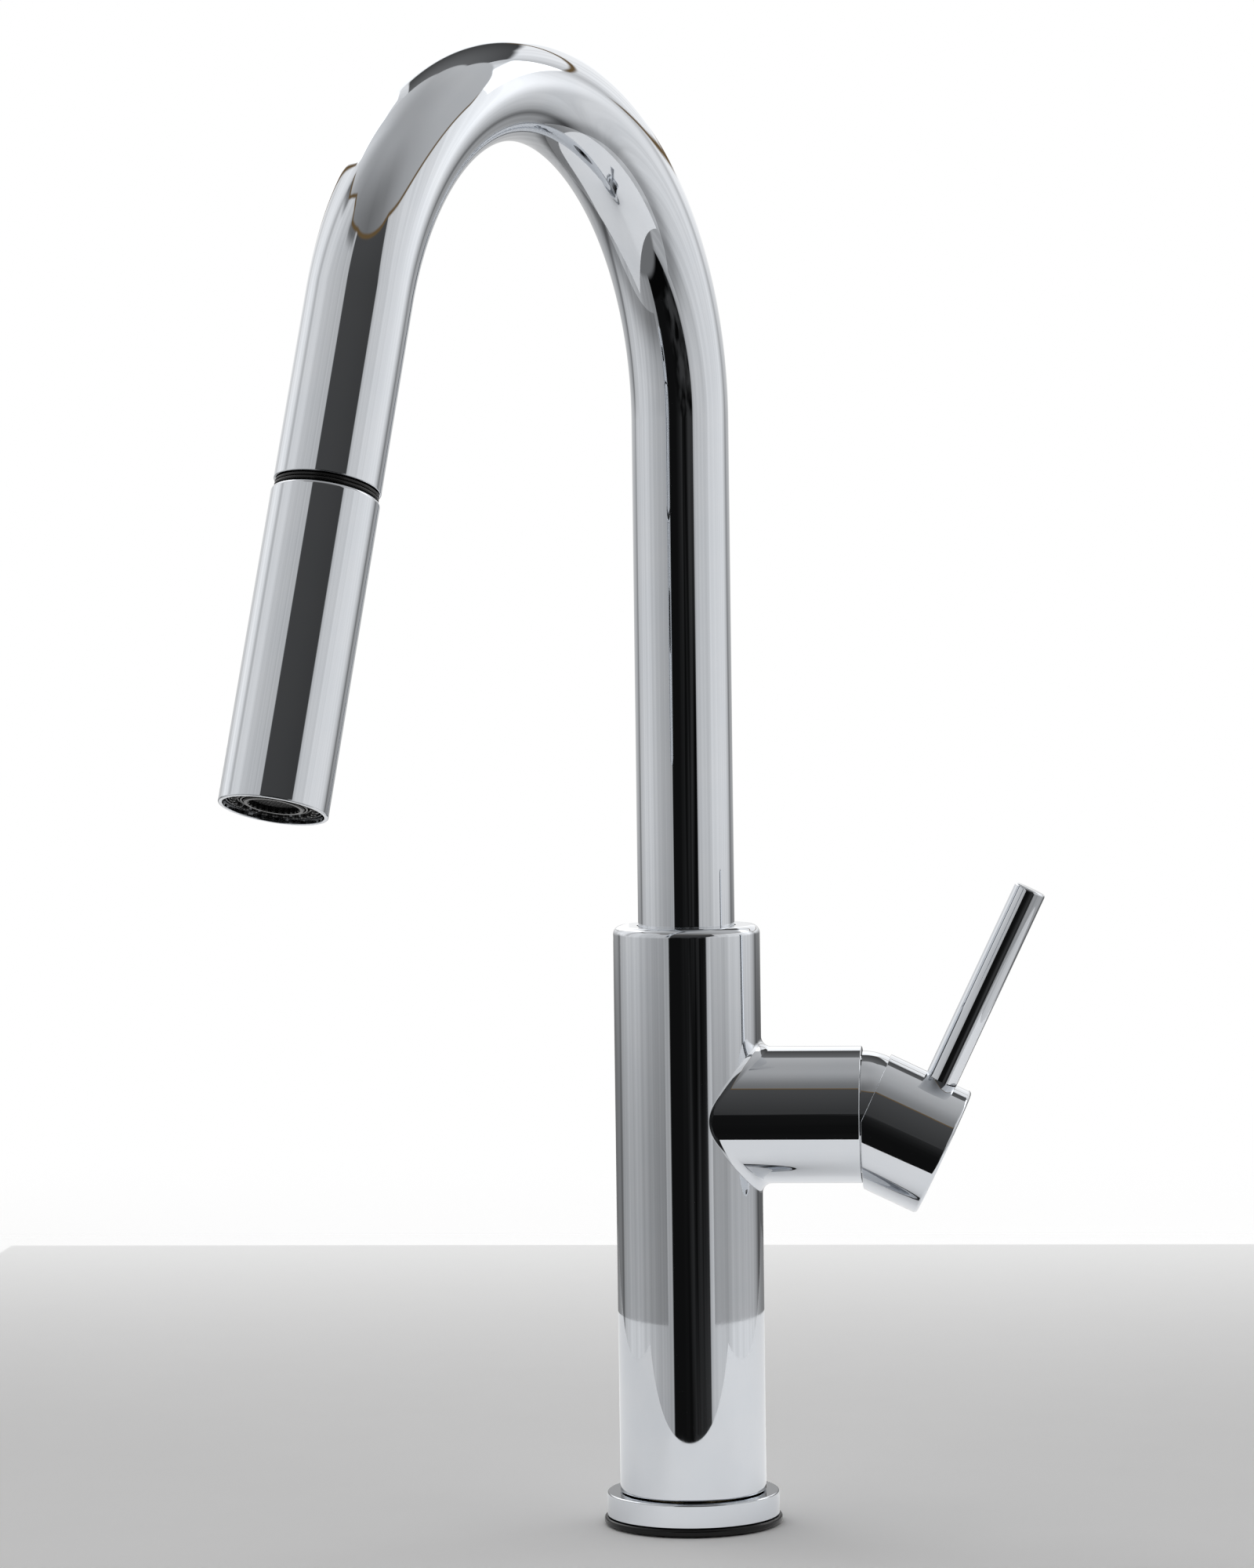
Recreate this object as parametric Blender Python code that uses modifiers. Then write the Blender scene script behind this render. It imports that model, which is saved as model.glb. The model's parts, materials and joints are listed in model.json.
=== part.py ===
"""Pull down kitchen faucet: a side-lever mixing valve in an upright body, with a gooseneck spout that swivels
on it and a spray wand that pulls out of the spout's end on a hose.

Metres, +Z up. The origin is the centre of the deck gasket's underside, and the side arm points along +X.
"""

from math import cos, pi, radians, sin, sqrt

import bmesh
import bpy
from mathutils import Matrix, Vector

# Gaps
CLEAR = 0.0003  # between pieces that touch
RUN = 0.0004  # round a piece that turns or slides

# Sides on round pieces
FINE = 28
MEDIUM = 18
COARSE = 12

# Gooseneck spout
TUBE_R = 0.0140
TUBE_WALL = 0.0020
STRAIGHT_TOP = 0.3203  # height where the bend starts
BEND_R = 0.08814
BEND_ANGLE = 161.26  # degrees, from straight up
LEG = 0.05305  # straight stretch after the bend, to the seam
SPOUT_HEADING = 245.7  # degrees from +X, looking down

# Shank through the deck, and what clamps the faucet to it
SHANK_FOOT = -0.0560
SHANK_WALL = 0.0018
FLANGE_STEP = 0.0014
DECK_GAP = 0.0360  # thickest deck that still fits
RUBBER_T = 0.0020
CLAMP_T = 0.0020
NUT_T = 0.0080
JACK_R = 0.0022
JACK_HEAD_R = 0.0038
JACK_COUNT = 3

# Hose and copper tubes, which share the shank's bore
HOSE_R = 0.0055
INLET_R = 0.0033
INLET_WALL = 0.0008
TUBE_GAP = 0.0009
INLET_SPREAD = 50.0  # degrees between neighbouring tubes in the shank
NIPPLE_R = 0.0052
NIPPLE_HEX_T = 0.0050
NIPPLE_LENGTH = 0.0130
COUPLING_R = 0.0068
INLET_FOOT = SHANK_FOOT - 0.0060
HOSE_FOOT = INLET_FOOT - NIPPLE_LENGTH - 0.0030
SHANK_BORE = HOSE_R + 2 * INLET_R + 3 * TUBE_GAP
SHANK_R = SHANK_BORE + SHANK_WALL
NUT_FLATS = 2 * (SHANK_R + 0.0085)  # leaves a wall each side of the jack screws
MANIFOLD_START = HOSE_R + 0.0019
TUBE_TOP_X = MANIFOLD_START + INLET_R + 0.0023  # where the tubes enter the manifold
TUBE_SIDE = 2 * INLET_R + 0.0006  # between neighbouring tubes there
TUBE_REACH = sqrt(TUBE_TOP_X**2 + TUBE_SIDE**2) + INLET_R

# Body
SLEEVE_T = 0.0033
SWIVEL_GAP = 0.0007
BODY_WALL = 0.0030
BODY_BORE = max(
    TUBE_R + CLEAR + SLEEVE_T + SWIVEL_GAP,
    SHANK_R + FLANGE_STEP + CLEAR,
    TUBE_REACH / cos(pi / FINE) + 0.00002,  # the bore's flats clear the outer tubes
)
BODY_R = BODY_BORE + BODY_WALL
BODY_TOP = 0.1741
BODY_ROOF = 0.0065
EDGE_R = 0.0025
ROOF = BODY_TOP - BODY_ROOF

# Base ring and gasket
RING_R = BODY_R + 0.0038
RING_TOP = 0.0091
RING_EDGE = 0.0005
GASKET_R = RING_R + 0.0009
GASKET_T = 0.0020
WASHER_R = GASKET_R

# Side arm. Its pieces stack outwards from the hose: manifold, cartridge, then the handle's pivot.
MANIFOLD_R = TUBE_SIDE + INLET_R + 0.0012
MANIFOLD_FLAT = sqrt(MANIFOLD_R**2 - (TUBE_SIDE + INLET_R) ** 2)
CART_R = MANIFOLD_R + 0.0025
CART_WALL = 0.0017
CHAMBER_R = CART_R - CART_WALL
ARM_WALL = 0.0052
MOUTH_WALL = 0.0023
ARM_BORE = CART_R + RUN
ARM_R = ARM_BORE + ARM_WALL
MOUTH_BORE = ARM_R - MOUTH_WALL
ARM_Z = 0.1187
SHOULDER = MANIFOLD_START + 2 * INLET_R + 0.0053
SEAT_END = SHOULDER + 0.0057  # where the manifold stops and the cartridge starts
STACK = 0.0255  # from the cartridge's seat to the handle's pivot
ARM_END = SEAT_END + STACK  # end face, from the body's axis
PORT_R = 0.0021
PORT_SIDE = 0.0052
PORT_DROP = 0.0032
PORT_RISE = 0.0056
PORTS = {"hot": (PORT_DROP, -PORT_SIDE), "cold": (PORT_DROP, PORT_SIDE), "outlet": (-PORT_RISE, 0.0)}
RISERS = {"hot": -TUBE_SIDE, "cold": TUBE_SIDE, "outlet": 0.0}
SEAL_T = 0.0013

# Handle
TILT = 25.5  # degrees the handle drops from shut to fully open
CAP_R = ARM_R - 0.0005
CAP_RIM = 0.0006
CAP_LENGTH = 0.0260
CAP_EDGE = 0.0010
DOME_R = CAP_R - CAP_RIM - CLEAR
DOME_WALL = 0.0015
LEVER_R = 0.0047
LEVER_AT = CAP_LENGTH - LEVER_R - 0.0049  # along the cap's axis from its pivot
LEVER_TIP = 0.0800  # from the cap's axis
TIP_EDGE = 0.0006
TENON_R = 0.0030
STEM_R = 0.0035
STEM_TAIL_R = 0.0026
STEM_TAIL = 0.0095
PIN_R = 0.0016
NECK_R = 0.0080
SCREW_R = 0.0020

# Cartridge, as stations along the arm
DISC_T = 0.0033
DISC_TRAVEL = STEM_TAIL * sin(radians(TILT))
DISC_R = CHAMBER_R - DISC_TRAVEL - 0.0012
DRIVER_T = 0.0022
COLLAR_R = 0.0052
CARRIER_T = 0.0026
COVER_T = 0.0020
CART_NUT_T = 0.0034
HOUSING_START = SEAT_END + CLEAR
HOUSING_FLOOR = HOUSING_START + 0.0037
FIXED_DISC = HOUSING_FLOOR + CLEAR
MOVING_DISC = FIXED_DISC + DISC_T + CLEAR
DRIVER = MOVING_DISC + DISC_T + CLEAR
COLLAR_END = ARM_END - 0.0079
CARRIER_START = COLLAR_END - CARRIER_T
COVER_START = COLLAR_END + CLEAR
NUT_START = COVER_START + COVER_T + CLEAR
NUT_END = NUT_START + CART_NUT_T
SKIRT_START = NUT_END + CLEAR

# Swivel and dock
SLEEVE_LOW = ARM_Z + CART_R + 0.0068
GUIDE_TOP = 0.0250  # length of the dock guide up inside the spout
NOSE_TOP = 0.0090
FERRULE_END = 0.0119

# Wand, measured along it from the seam
WAND_R = TUBE_R + 0.00015
WAND_WALL = 0.0011
WAND_LENGTH = 0.08515
WAND_BORE = WAND_R - WAND_WALL
WAND_EDGE = 0.0009
RIM_EDGE = 0.0003
SEAM = 0.00085  # half the black band at the seam
BAND_R = TUBE_R - 0.0004
NOSE_R = HOSE_R + 0.0026
STEM_NECK = 0.0042
STEM_FLANGE = 0.0064
STEM_FLANGE_T = 0.0020
STEM_BORE = 0.0026
NUT_INSIDE = NOSE_R - 0.0010
COLLAR_LOW = 0.0140
BUTTON_AT = 0.0350
BUTTON_LENGTH = 0.0220
BUTTON_WIDTH = 0.0090
BUTTON_LIP = 0.0020
BUTTON_PROUD = 0.0008
BUTTON_TRAVEL = 0.0020
BUTTON_FLANGE = sqrt(WAND_BORE**2 - (BUTTON_WIDTH / 2 + BUTTON_LIP) ** 2) - RUN
BUTTON_BACK = BUTTON_FLANGE - 0.0013
SPOOL_R = 0.0022
SPRING_WIRE = 0.00030
CORE_TOP = COLLAR_LOW + CLEAR
CORE_SHOULDER = BUTTON_AT - BUTTON_LENGTH / 2 - BUTTON_LIP - 0.0006
CORE_WAIST = BUTTON_BACK - BUTTON_TRAVEL - 0.0011
CORE_BORE = CORE_WAIST - 0.0025
VALVE_R = 0.0050
VALVE_LENGTH = 0.0055
FACE_LOW = WAND_LENGTH - 0.0014
FACE_TOP = WAND_LENGTH - 0.0155
CORE_LOW = FACE_TOP - CLEAR
AERATOR_R = WAND_BORE - 0.00515
AERATOR_WALL = 0.0014
NOZZLE_DEPTH = 0.0030
NOZZLE_HALF = 0.0014  # half the width of the nozzle ring
NOZZLES = 20

CHROME = ((0.80, 0.81, 0.83), 1.0, 0.05)
BRASS = ((0.78, 0.60, 0.30), 1.0, 0.30)
STEEL = ((0.62, 0.63, 0.65), 1.0, 0.28)
COPPER = ((0.80, 0.45, 0.30), 1.0, 0.25)
RUBBER = ((0.015, 0.015, 0.016), 0.0, 0.55)
BLACK_PLASTIC = ((0.02, 0.02, 0.022), 0.0, 0.35)
GREY_PLASTIC = ((0.32, 0.33, 0.35), 0.0, 0.45)
WHITE_PLASTIC = ((0.80, 0.80, 0.78), 0.0, 0.40)
CERAMIC = ((0.86, 0.84, 0.80), 0.0, 0.20)
BRAID = ((0.42, 0.43, 0.45), 0.7, 0.40)


def clear_scene():
    for obj in list(bpy.data.objects):
        bpy.data.objects.remove(obj, do_unlink=True)


def new_collection(name):
    made = bpy.data.collections.new(name)
    bpy.context.scene.collection.children.link(made)
    return made


clear_scene()
PARTS = new_collection("pull_down_kitchen_faucet")
CUTTERS = new_collection("cutters")


def pivot(name, matrix, parent=None):
    """An empty on a joint's axis, whose matrix is in its parent's space."""
    empty = bpy.data.objects.new(name, None)
    empty.empty_display_size = 0.01
    PARTS.objects.link(empty)
    empty.parent = parent
    empty.matrix_local = matrix
    return empty


def place(obj, parent, matrix=None):
    obj.parent = parent
    if matrix is not None:
        obj.matrix_local = matrix


def make_material(name, finish):
    colour, metallic, roughness = finish
    made = bpy.data.materials.new(name)
    made.use_nodes = True
    shader = made.node_tree.nodes["Principled BSDF"]
    shader.inputs["Base Color"].default_value = (*colour, 1.0)
    shader.inputs["Metallic"].default_value = metallic
    shader.inputs["Roughness"].default_value = roughness
    return made


def add(name, mesh, finish, parent=None, matrix=None):
    """A finished piece when it has a finish, and otherwise a cutter."""
    obj = bpy.data.objects.new(name, mesh)
    (PARTS if finish else CUTTERS).objects.link(obj)
    place(obj, parent, matrix)
    if finish:
        mesh.materials.append(make_material(name, finish))
    else:
        obj.hide_render = True
        obj.display_type = "WIRE"
    return obj


def turned(name, profile, finish, parent=None, matrix=None, sides=COARSE, loop=False):
    """A profile of (radius, height) points turned about local Z, its outer side running downwards."""
    mesh = bpy.data.meshes.new(name)
    edges = [(i, i + 1) for i in range(len(profile) - 1)]
    if loop:
        edges.append((len(profile) - 1, 0))
    mesh.from_pydata([(radius, 0.0, height) for radius, height in profile], edges, [])
    obj = add(name, mesh, finish, parent, matrix)
    screw = obj.modifiers.new("turn", "SCREW")
    screw.steps = screw.render_steps = sides
    screw.use_merge_vertices = True
    screw.merge_threshold = 0.00001
    screw.use_smooth_shade = True
    return obj


def ring(name, inner, outer, low, high, finish, parent=None, matrix=None, sides=COARSE):
    corners = [(outer, high), (outer, low), (inner, low), (inner, high)]
    return turned(name, corners, finish, parent, matrix, sides, loop=True)


def rod(name, radius, low, high, finish, parent=None, matrix=None, sides=COARSE):
    corners = [(0.0, high), (radius, high), (radius, low), (0.0, low)]
    return turned(name, corners, finish, parent, matrix, sides)


def torus(name, major, minor, height, finish, parent=None, sides=MEDIUM):
    points = [
        (major + minor * cos(-pi * i / 3), height + minor * sin(-pi * i / 3)) for i in range(6)
    ]
    return turned(name, points, finish, parent, None, sides, loop=True)


def arc(centre, radius, start, end, steps):
    """Points (radius, height) on an arc about (0, centre). Angles are degrees from the radial direction."""
    return [
        (radius * cos(radians(start + (end - start) * i / steps)),
         centre + radius * sin(radians(start + (end - start) * i / steps)))
        for i in range(steps + 1)
    ]


def box(name, low, high, finish, parent=None, matrix=None):
    mesh = bpy.data.meshes.new(name)
    shape = bmesh.new()
    bmesh.ops.create_cube(shape, size=1.0)
    centre = (Vector(low) + Vector(high)) / 2
    size = Vector(high) - Vector(low)
    bmesh.ops.scale(shape, vec=size, verts=shape.verts)
    bmesh.ops.translate(shape, vec=centre, verts=shape.verts)
    shape.to_mesh(mesh)
    shape.free()
    return add(name, mesh, finish, parent, matrix)


def prism(name, sides, radius, low, high, finish, parent=None, matrix=None, stretch=0.0):
    """A straight prism on a circle of sides, whose halves are moved apart along X by stretch."""
    mesh = bpy.data.meshes.new(name)
    shape = bmesh.new()
    bmesh.ops.create_cone(
        shape, cap_ends=True, segments=sides, radius1=radius, radius2=radius, depth=high - low,
        matrix=Matrix.Translation((0, 0, (low + high) / 2)) @ Matrix.Rotation(pi / sides, 4, "Z"),
    )
    for vert in shape.verts:
        vert.co.x += stretch / 2 if vert.co.x > 0 else -stretch / 2
    shape.to_mesh(mesh)
    shape.free()
    return add(name, mesh, finish, parent, matrix)


def boolean(obj, other, operation):
    step = obj.modifiers.new(other.name, "BOOLEAN")
    step.object = other
    step.operation = operation


def cut(obj, *cutters):
    for cutter in cutters:
        boolean(obj, cutter, "DIFFERENCE")


def join(obj, *others):
    for other in others:
        boolean(obj, other, "UNION")


def pipe(name, points, radius, finish, parent=None, wall=None, resolution=2):
    """A round tube along points, closed at its ends, or open with a wall of its own."""
    data = bpy.data.curves.new(name, "CURVE")
    data.dimensions = "3D"
    data.bevel_depth = radius
    data.bevel_resolution = resolution
    data.use_fill_caps = wall is None
    line = data.splines.new("POLY")
    line.points.add(len(points) - 1)
    for point, spot in zip(line.points, points):
        point.co = (*spot, 1.0)
    if wall is None:
        return add_curve(name, data, finish, parent)
    guide = bpy.data.objects.new(name + "_path", data)
    CUTTERS.objects.link(guide)
    graph = bpy.context.evaluated_depsgraph_get()
    mesh = bpy.data.meshes.new_from_object(guide.evaluated_get(graph))
    bpy.data.objects.remove(guide, do_unlink=True)
    mesh.name = name
    mesh.materials.clear()
    mesh.shade_smooth()
    obj = add(name, mesh, finish, parent)
    shell = obj.modifiers.new("wall", "SOLIDIFY")
    shell.thickness = wall
    shell.offset = -1.0
    return obj


def add_curve(name, data, finish, parent):
    obj = bpy.data.objects.new(name, data)
    PARTS.objects.link(obj)
    obj.parent = parent
    data.materials.append(make_material(name, finish))
    return obj


def smooth_step(share):
    return share * share * (3 - 2 * share)


# Joint frames. Each local Z runs along the piece: out along the arm, out of the cap, and down the wand.
def facing(origin, along, across):
    """A frame with Z along a direction and X across it."""
    z_axis = Vector(along).normalized()
    x_axis = (Vector(across) - z_axis * z_axis.dot(Vector(across))).normalized()
    y_axis = z_axis.cross(x_axis)
    return Matrix.Translation(origin) @ Matrix((x_axis, y_axis, z_axis)).transposed().to_4x4()


HEADING = Vector((cos(radians(SPOUT_HEADING)), sin(radians(SPOUT_HEADING)), 0.0))
LEG_DOWN = (HEADING * sin(radians(BEND_ANGLE)) + Vector((0, 0, cos(radians(BEND_ANGLE))))).normalized()


def spout_point(angle, beyond=0.0):
    """A point on the spout's centreline at an angle round the bend, and beyond it along the leg."""
    out = BEND_R * (1 - cos(radians(angle)))
    height = STRAIGHT_TOP + BEND_R * sin(radians(angle))
    return HEADING * out + Vector((0, 0, height)) + LEG_DOWN * beyond


SEAM_POINT = spout_point(BEND_ANGLE, LEG)
PIVOT_POINT = Vector((ARM_END, 0, ARM_Z))

SPOUT = pivot("spout_pivot", Matrix())
WAND_FRAME = facing(SEAM_POINT, LEG_DOWN, -HEADING)
SPOUT_END = pivot("spout_end", WAND_FRAME, SPOUT)
HOSE_END = pivot("hose_end_pivot", WAND_FRAME, SPOUT)
WAND = pivot("wand_pivot", WAND_FRAME, SPOUT)
BUTTON = pivot("button_pivot", facing((0, 0, BUTTON_AT), (1, 0, 0), (0, 0, 1)), WAND)
ARM = pivot("arm_pivot", facing((0, 0, ARM_Z), (1, 0, 0), (0, 0, -1)))
CARRIER = pivot("carrier_pivot", Matrix(), ARM)
DISC = pivot("disc_pivot", Matrix(), CARRIER)
HANDLE = pivot(
    "handle_pivot", Matrix.Translation((0, 0, ARM_END)) @ Matrix.Rotation(radians(TILT), 4, "Y"), CARRIER
)
ACROSS_ARM = Matrix.Translation((0, 0, ARM_END)) @ Matrix.Rotation(pi / 2, 4, "X")


# Base, body and shank
def make_base():
    ring("deck_gasket", SHANK_R + CLEAR, GASKET_R, 0.0, GASKET_T, RUBBER, sides=FINE)
    low = GASKET_T + CLEAR
    edge = [
        (RING_R - RING_EDGE, RING_TOP), (RING_R, RING_TOP - RING_EDGE), (RING_R, low),
        (SHANK_R + CLEAR, low), (SHANK_R + CLEAR, RING_TOP),
    ]
    turned("base_ring", edge, CHROME, sides=FINE, loop=True)


def make_body():
    foot = RING_TOP + CLEAR
    edge = arc(BODY_TOP - EDGE_R, EDGE_R, 90, 0, 3)
    side = [(BODY_R - EDGE_R + radius, height) for radius, height in edge]
    outline = [(0.0, BODY_TOP), *side, (BODY_R, foot), (0.0, foot)]
    body = turned("body_shell", outline, CHROME, sides=FINE)
    join(body, rod("arm_outside", ARM_R, BODY_BORE - BODY_WALL, ARM_END, None, ARM, sides=FINE))
    hollow = [
        (0.0, ARM_END + 0.01), (MOUTH_BORE, ARM_END + 0.01), (MOUTH_BORE, NUT_START - CLEAR),
        (ARM_BORE, NUT_START - CLEAR), (ARM_BORE, SHOULDER), (MANIFOLD_R + RUN, SHOULDER),
        (MANIFOLD_R + RUN, 0.0), (0.0, 0.0),
    ]
    roof = BODY_TOP - BODY_ROOF
    cavity = [
        (0.0, BODY_TOP + 0.01), (TUBE_R + RUN, BODY_TOP + 0.01), (TUBE_R + RUN, roof), (BODY_BORE, roof),
        (BODY_BORE, foot - 0.01), (0.0, foot - 0.01),
    ]
    cut(
        body,
        turned("body_cavity", cavity, None, sides=FINE),
        turned("arm_hollow", hollow, None, ARM, sides=MEDIUM),
    )


def make_shank():
    top = RING_TOP + 0.0110
    flange = RING_TOP + 2 * CLEAR
    outline = [
        (BODY_BORE - CLEAR, top), (BODY_BORE - CLEAR, flange), (SHANK_R, flange),
        (SHANK_R, SHANK_FOOT), (SHANK_BORE, SHANK_FOOT), (SHANK_BORE, top),
    ]
    turned("threaded_shank", outline, BRASS, sides=MEDIUM, loop=True)


def make_deck_clamp():
    inner = SHANK_R + CLEAR
    top = -DECK_GAP - CLEAR
    ring("rubber_washer", inner, WASHER_R, top - RUBBER_T, top, RUBBER, sides=MEDIUM)
    top -= RUBBER_T + CLEAR
    ring("clamp_washer", inner, WASHER_R, top - CLAMP_T, top, STEEL, sides=MEDIUM)
    tip = top - CLAMP_T - CLEAR
    nut_top = tip - 0.0015
    nut = prism("mounting_nut", 6, NUT_FLATS / 2 / cos(pi / 6), nut_top - NUT_T, nut_top, BRASS)
    cut(nut, rod("nut_bore", inner, nut_top - 2 * NUT_T, nut_top + NUT_T, None, sides=MEDIUM))
    middle = (inner + NUT_FLATS / 2) / 2
    head = nut_top - NUT_T - 0.0020
    for i in range(JACK_COUNT):
        spot = Matrix.Rotation(2 * pi * i / JACK_COUNT, 4, "Z") @ Matrix.Translation((middle, 0, 0))
        low, high = nut_top - 2 * NUT_T, nut_top + NUT_T
        cut(nut, rod(f"jack_hole_{i + 1}", JACK_R + CLEAR, low, high, None, None, spot))
        outline = [
            (0.0, tip), (JACK_R, tip), (JACK_R, head), (JACK_HEAD_R, head),
            (JACK_HEAD_R, head - 0.0030), (0.0, head - 0.0030),
        ]
        turned(f"jack_screw_{i + 1}", outline, STEEL, None, spot)


# Mixing valve
def make_manifold():
    outline = [
        (0.0, SEAT_END), (CART_R, SEAT_END), (CART_R, SHOULDER + 2 * CLEAR),
        (MANIFOLD_R, SHOULDER + 2 * CLEAR), (MANIFOLD_R, MANIFOLD_START), (0.0, MANIFOLD_START),
    ]
    manifold = turned("valve_manifold", outline, BRASS, ARM, sides=MEDIUM)
    corner = 2 * CART_R
    cut(manifold, box(
        "manifold_flat", (MANIFOLD_FLAT, -corner, 0.0), (corner, corner, SHOULDER), None, ARM
    ))
    for name, (down, side) in PORTS.items():
        spot = Matrix.Translation((down, side, 0.0))
        port = rod(f"{name}_port", PORT_R, TUBE_TOP_X - PORT_R, SEAT_END + 0.01, None, ARM, spot)
        rise = Matrix.Translation((0.0, RISERS[name], TUBE_TOP_X)) @ Matrix.Rotation(pi / 2, 4, "Y")
        riser = rod(f"{name}_riser", PORT_R, down - PORT_R, corner, None, ARM, rise)
        cut(manifold, port, riser)


def make_inlet_tubes():
    top = ARM_Z - MANIFOLD_FLAT - CLEAR
    place_r = SHANK_BORE - TUBE_GAP - INLET_R
    for order, name in enumerate(("hot", "outlet", "cold")):
        turn = radians(INLET_SPREAD * (order - 1))
        low = Vector((place_r * cos(turn), place_r * sin(turn)))
        high = Vector((TUBE_TOP_X, RISERS[name]))
        points = [(*low, INLET_FOOT), (*low, 0.0)]
        bend_low, bend_high, steps = 0.030, top - 0.012, 7
        for i in range(steps + 1):
            share = i / steps
            spot = low.lerp(high, smooth_step(share))
            points.append((*spot, bend_low + (bend_high - bend_low) * share))
        points.append((*high, top))
        kind = "outlet_tube" if name == "outlet" else f"{name}_inlet_tube"
        pipe(kind, points, INLET_R, COPPER, wall=INLET_WALL, resolution=3)
        if name != "outlet":
            make_nipple(f"{name}_inlet_nipple", low)


def make_nipple(name, centre):
    """A hexagon with a threaded stub below it, for a supply hose."""
    top = INLET_FOOT - CLEAR
    spot = Matrix.Translation((*centre, 0.0))
    nipple = prism(name, 6, NIPPLE_R, top - NIPPLE_HEX_T, top, BRASS, None, spot)
    stub_top = top - NIPPLE_HEX_T + 0.0010
    stub = rod(name + "_stub", NIPPLE_R - 0.0012, top - NIPPLE_LENGTH, stub_top, None, None, spot)
    join(nipple, stub)
    low, high = top - 2 * NIPPLE_LENGTH, top + NIPPLE_LENGTH
    cut(nipple, rod(name + "_bore", INLET_R - INLET_WALL, low, high, None, None, spot))


def make_cartridge():
    outline = [
        (CHAMBER_R, COVER_START - CLEAR), (CART_R, COVER_START - CLEAR), (CART_R, HOUSING_START),
        (0.0, HOUSING_START), (0.0, HOUSING_FLOOR), (CHAMBER_R, HOUSING_FLOOR),
    ]
    housing = turned("cartridge_housing", outline, WHITE_PLASTIC, ARM, sides=MEDIUM, loop=True)
    disc_r, disc_end = CHAMBER_R - CLEAR, FIXED_DISC + DISC_T
    disc = rod("fixed_ceramic_disc", disc_r, FIXED_DISC, disc_end, CERAMIC, ARM, sides=MEDIUM)
    below, seat_end, seal_r = HOUSING_START - 0.01, HOUSING_START + SEAL_T + CLEAR, PORT_R + SEAL_T
    for name, (down, side) in PORTS.items():
        spot = Matrix.Translation((down, side, 0.0))
        hole = rod(f"{name}_way", PORT_R, below, FIXED_DISC + 0.01, None, ARM, spot)
        seat = rod(f"{name}_seat", seal_r + CLEAR, below, seat_end, None, ARM, spot)
        cut(housing, hole, seat)
        cut(disc, hole)
        seal_end = HOUSING_START + SEAL_T
        ring(f"{name}_port_seal", PORT_R, seal_r, HOUSING_START, seal_end, RUBBER, ARM, spot)
    hole, end = NECK_R + CLEAR, COVER_START + COVER_T
    ring("cartridge_cover", hole, CART_R, COVER_START, end, WHITE_PLASTIC, ARM, sides=MEDIUM)
    wide = MOUTH_BORE - CLEAR
    nut = ring("cartridge_nut", NECK_R + 0.0015, wide, NUT_START, NUT_END, BRASS, ARM, sides=MEDIUM)
    for i in range(2):
        low, high = (-0.0015, NECK_R, NUT_END - 0.0015), (0.0015, MOUTH_BORE - 0.0015, ARM_END)
        cut(nut, box(f"nut_notch_{i + 1}", low, high, None, ARM, Matrix.Rotation(pi * i, 4, "Z")))


def make_bonnet():
    edge = DOME_R - DOME_WALL
    flange = CLEAR
    outer = arc(0.0, DOME_R, 50, 0, 6)[:-1] + [(DOME_R, flange)]
    inner = [(edge, flange)] + arc(0.0, edge, 0, 50, 5)[1:]
    skirt_r = MOUTH_BORE - CLEAR
    skirt = [(skirt_r, flange), (skirt_r, SKIRT_START - ARM_END), (skirt_r - 0.0014, SKIRT_START - ARM_END)]
    skirt_top = (skirt_r - 0.0014, flange + 0.0012)
    spot = Matrix.Translation((0, 0, ARM_END))
    turned("bonnet_dome", outer + skirt + [skirt_top] + inner[1:], CHROME, ARM, spot, sides=FINE, loop=True)


def make_stem_carrier():
    top, wide = ARM_END + 0.0045, CHAMBER_R - CLEAR
    outline = [
        (0.0, top), (NECK_R, top), (NECK_R, COLLAR_END), (wide, COLLAR_END), (wide, CARRIER_START),
        (0.0, CARRIER_START),
    ]
    carrier = turned("stem_carrier", outline, GREY_PLASTIC, CARRIER, sides=MEDIUM)
    gap, slot, far = COLLAR_R + RUN, STEM_R + CLEAR, 2 * NECK_R
    window_low, window_high = (-gap - DISC_TRAVEL, -gap, 0.0), (gap, gap, COLLAR_END + RUN)
    slot_low, slot_high = (-far, -slot, COLLAR_END), (far, slot, 2 * ARM_END)
    cut(
        carrier,
        box("carrier_window", window_low, window_high, None, CARRIER),
        box("carrier_slot", slot_low, slot_high, None, CARRIER),
        rod("carrier_pin_hole", PIN_R + CLEAR, -far, far, None, CARRIER, ACROSS_ARM),
    )
    rod("stem_pin", PIN_R, 0.0010 - NECK_R, NECK_R - 0.0010, STEEL, CARRIER, ACROSS_ARM)


def make_moving_disc():
    """Both pieces stand off the arm's axis by the stem's throw while the handle is open."""
    lifted = Matrix.Translation((-DISC_TRAVEL, 0.0, 0.0))
    outline = [
        (0.0, MOVING_DISC + DISC_T), (DISC_R, MOVING_DISC + DISC_T), (DISC_R, MOVING_DISC),
        (DISC_R - 0.0018, MOVING_DISC), (DISC_R - 0.0018, MOVING_DISC + 0.0016), (0.0, MOVING_DISC + 0.0016),
    ]
    turned("moving_ceramic_disc", outline, CERAMIC, DISC, lifted, sides=MEDIUM)
    pocket_r = STEM_TAIL_R + 0.0009
    outline = [
        (0.0, DRIVER + 0.0031), (pocket_r, DRIVER + 0.0031), (pocket_r, COLLAR_END), (COLLAR_R, COLLAR_END),
        (COLLAR_R, DRIVER + DRIVER_T), (DISC_R, DRIVER + DRIVER_T), (DISC_R, DRIVER), (0.0, DRIVER),
    ]
    turned("disc_driver", outline, GREY_PLASTIC, DISC, lifted, sides=MEDIUM)


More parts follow.
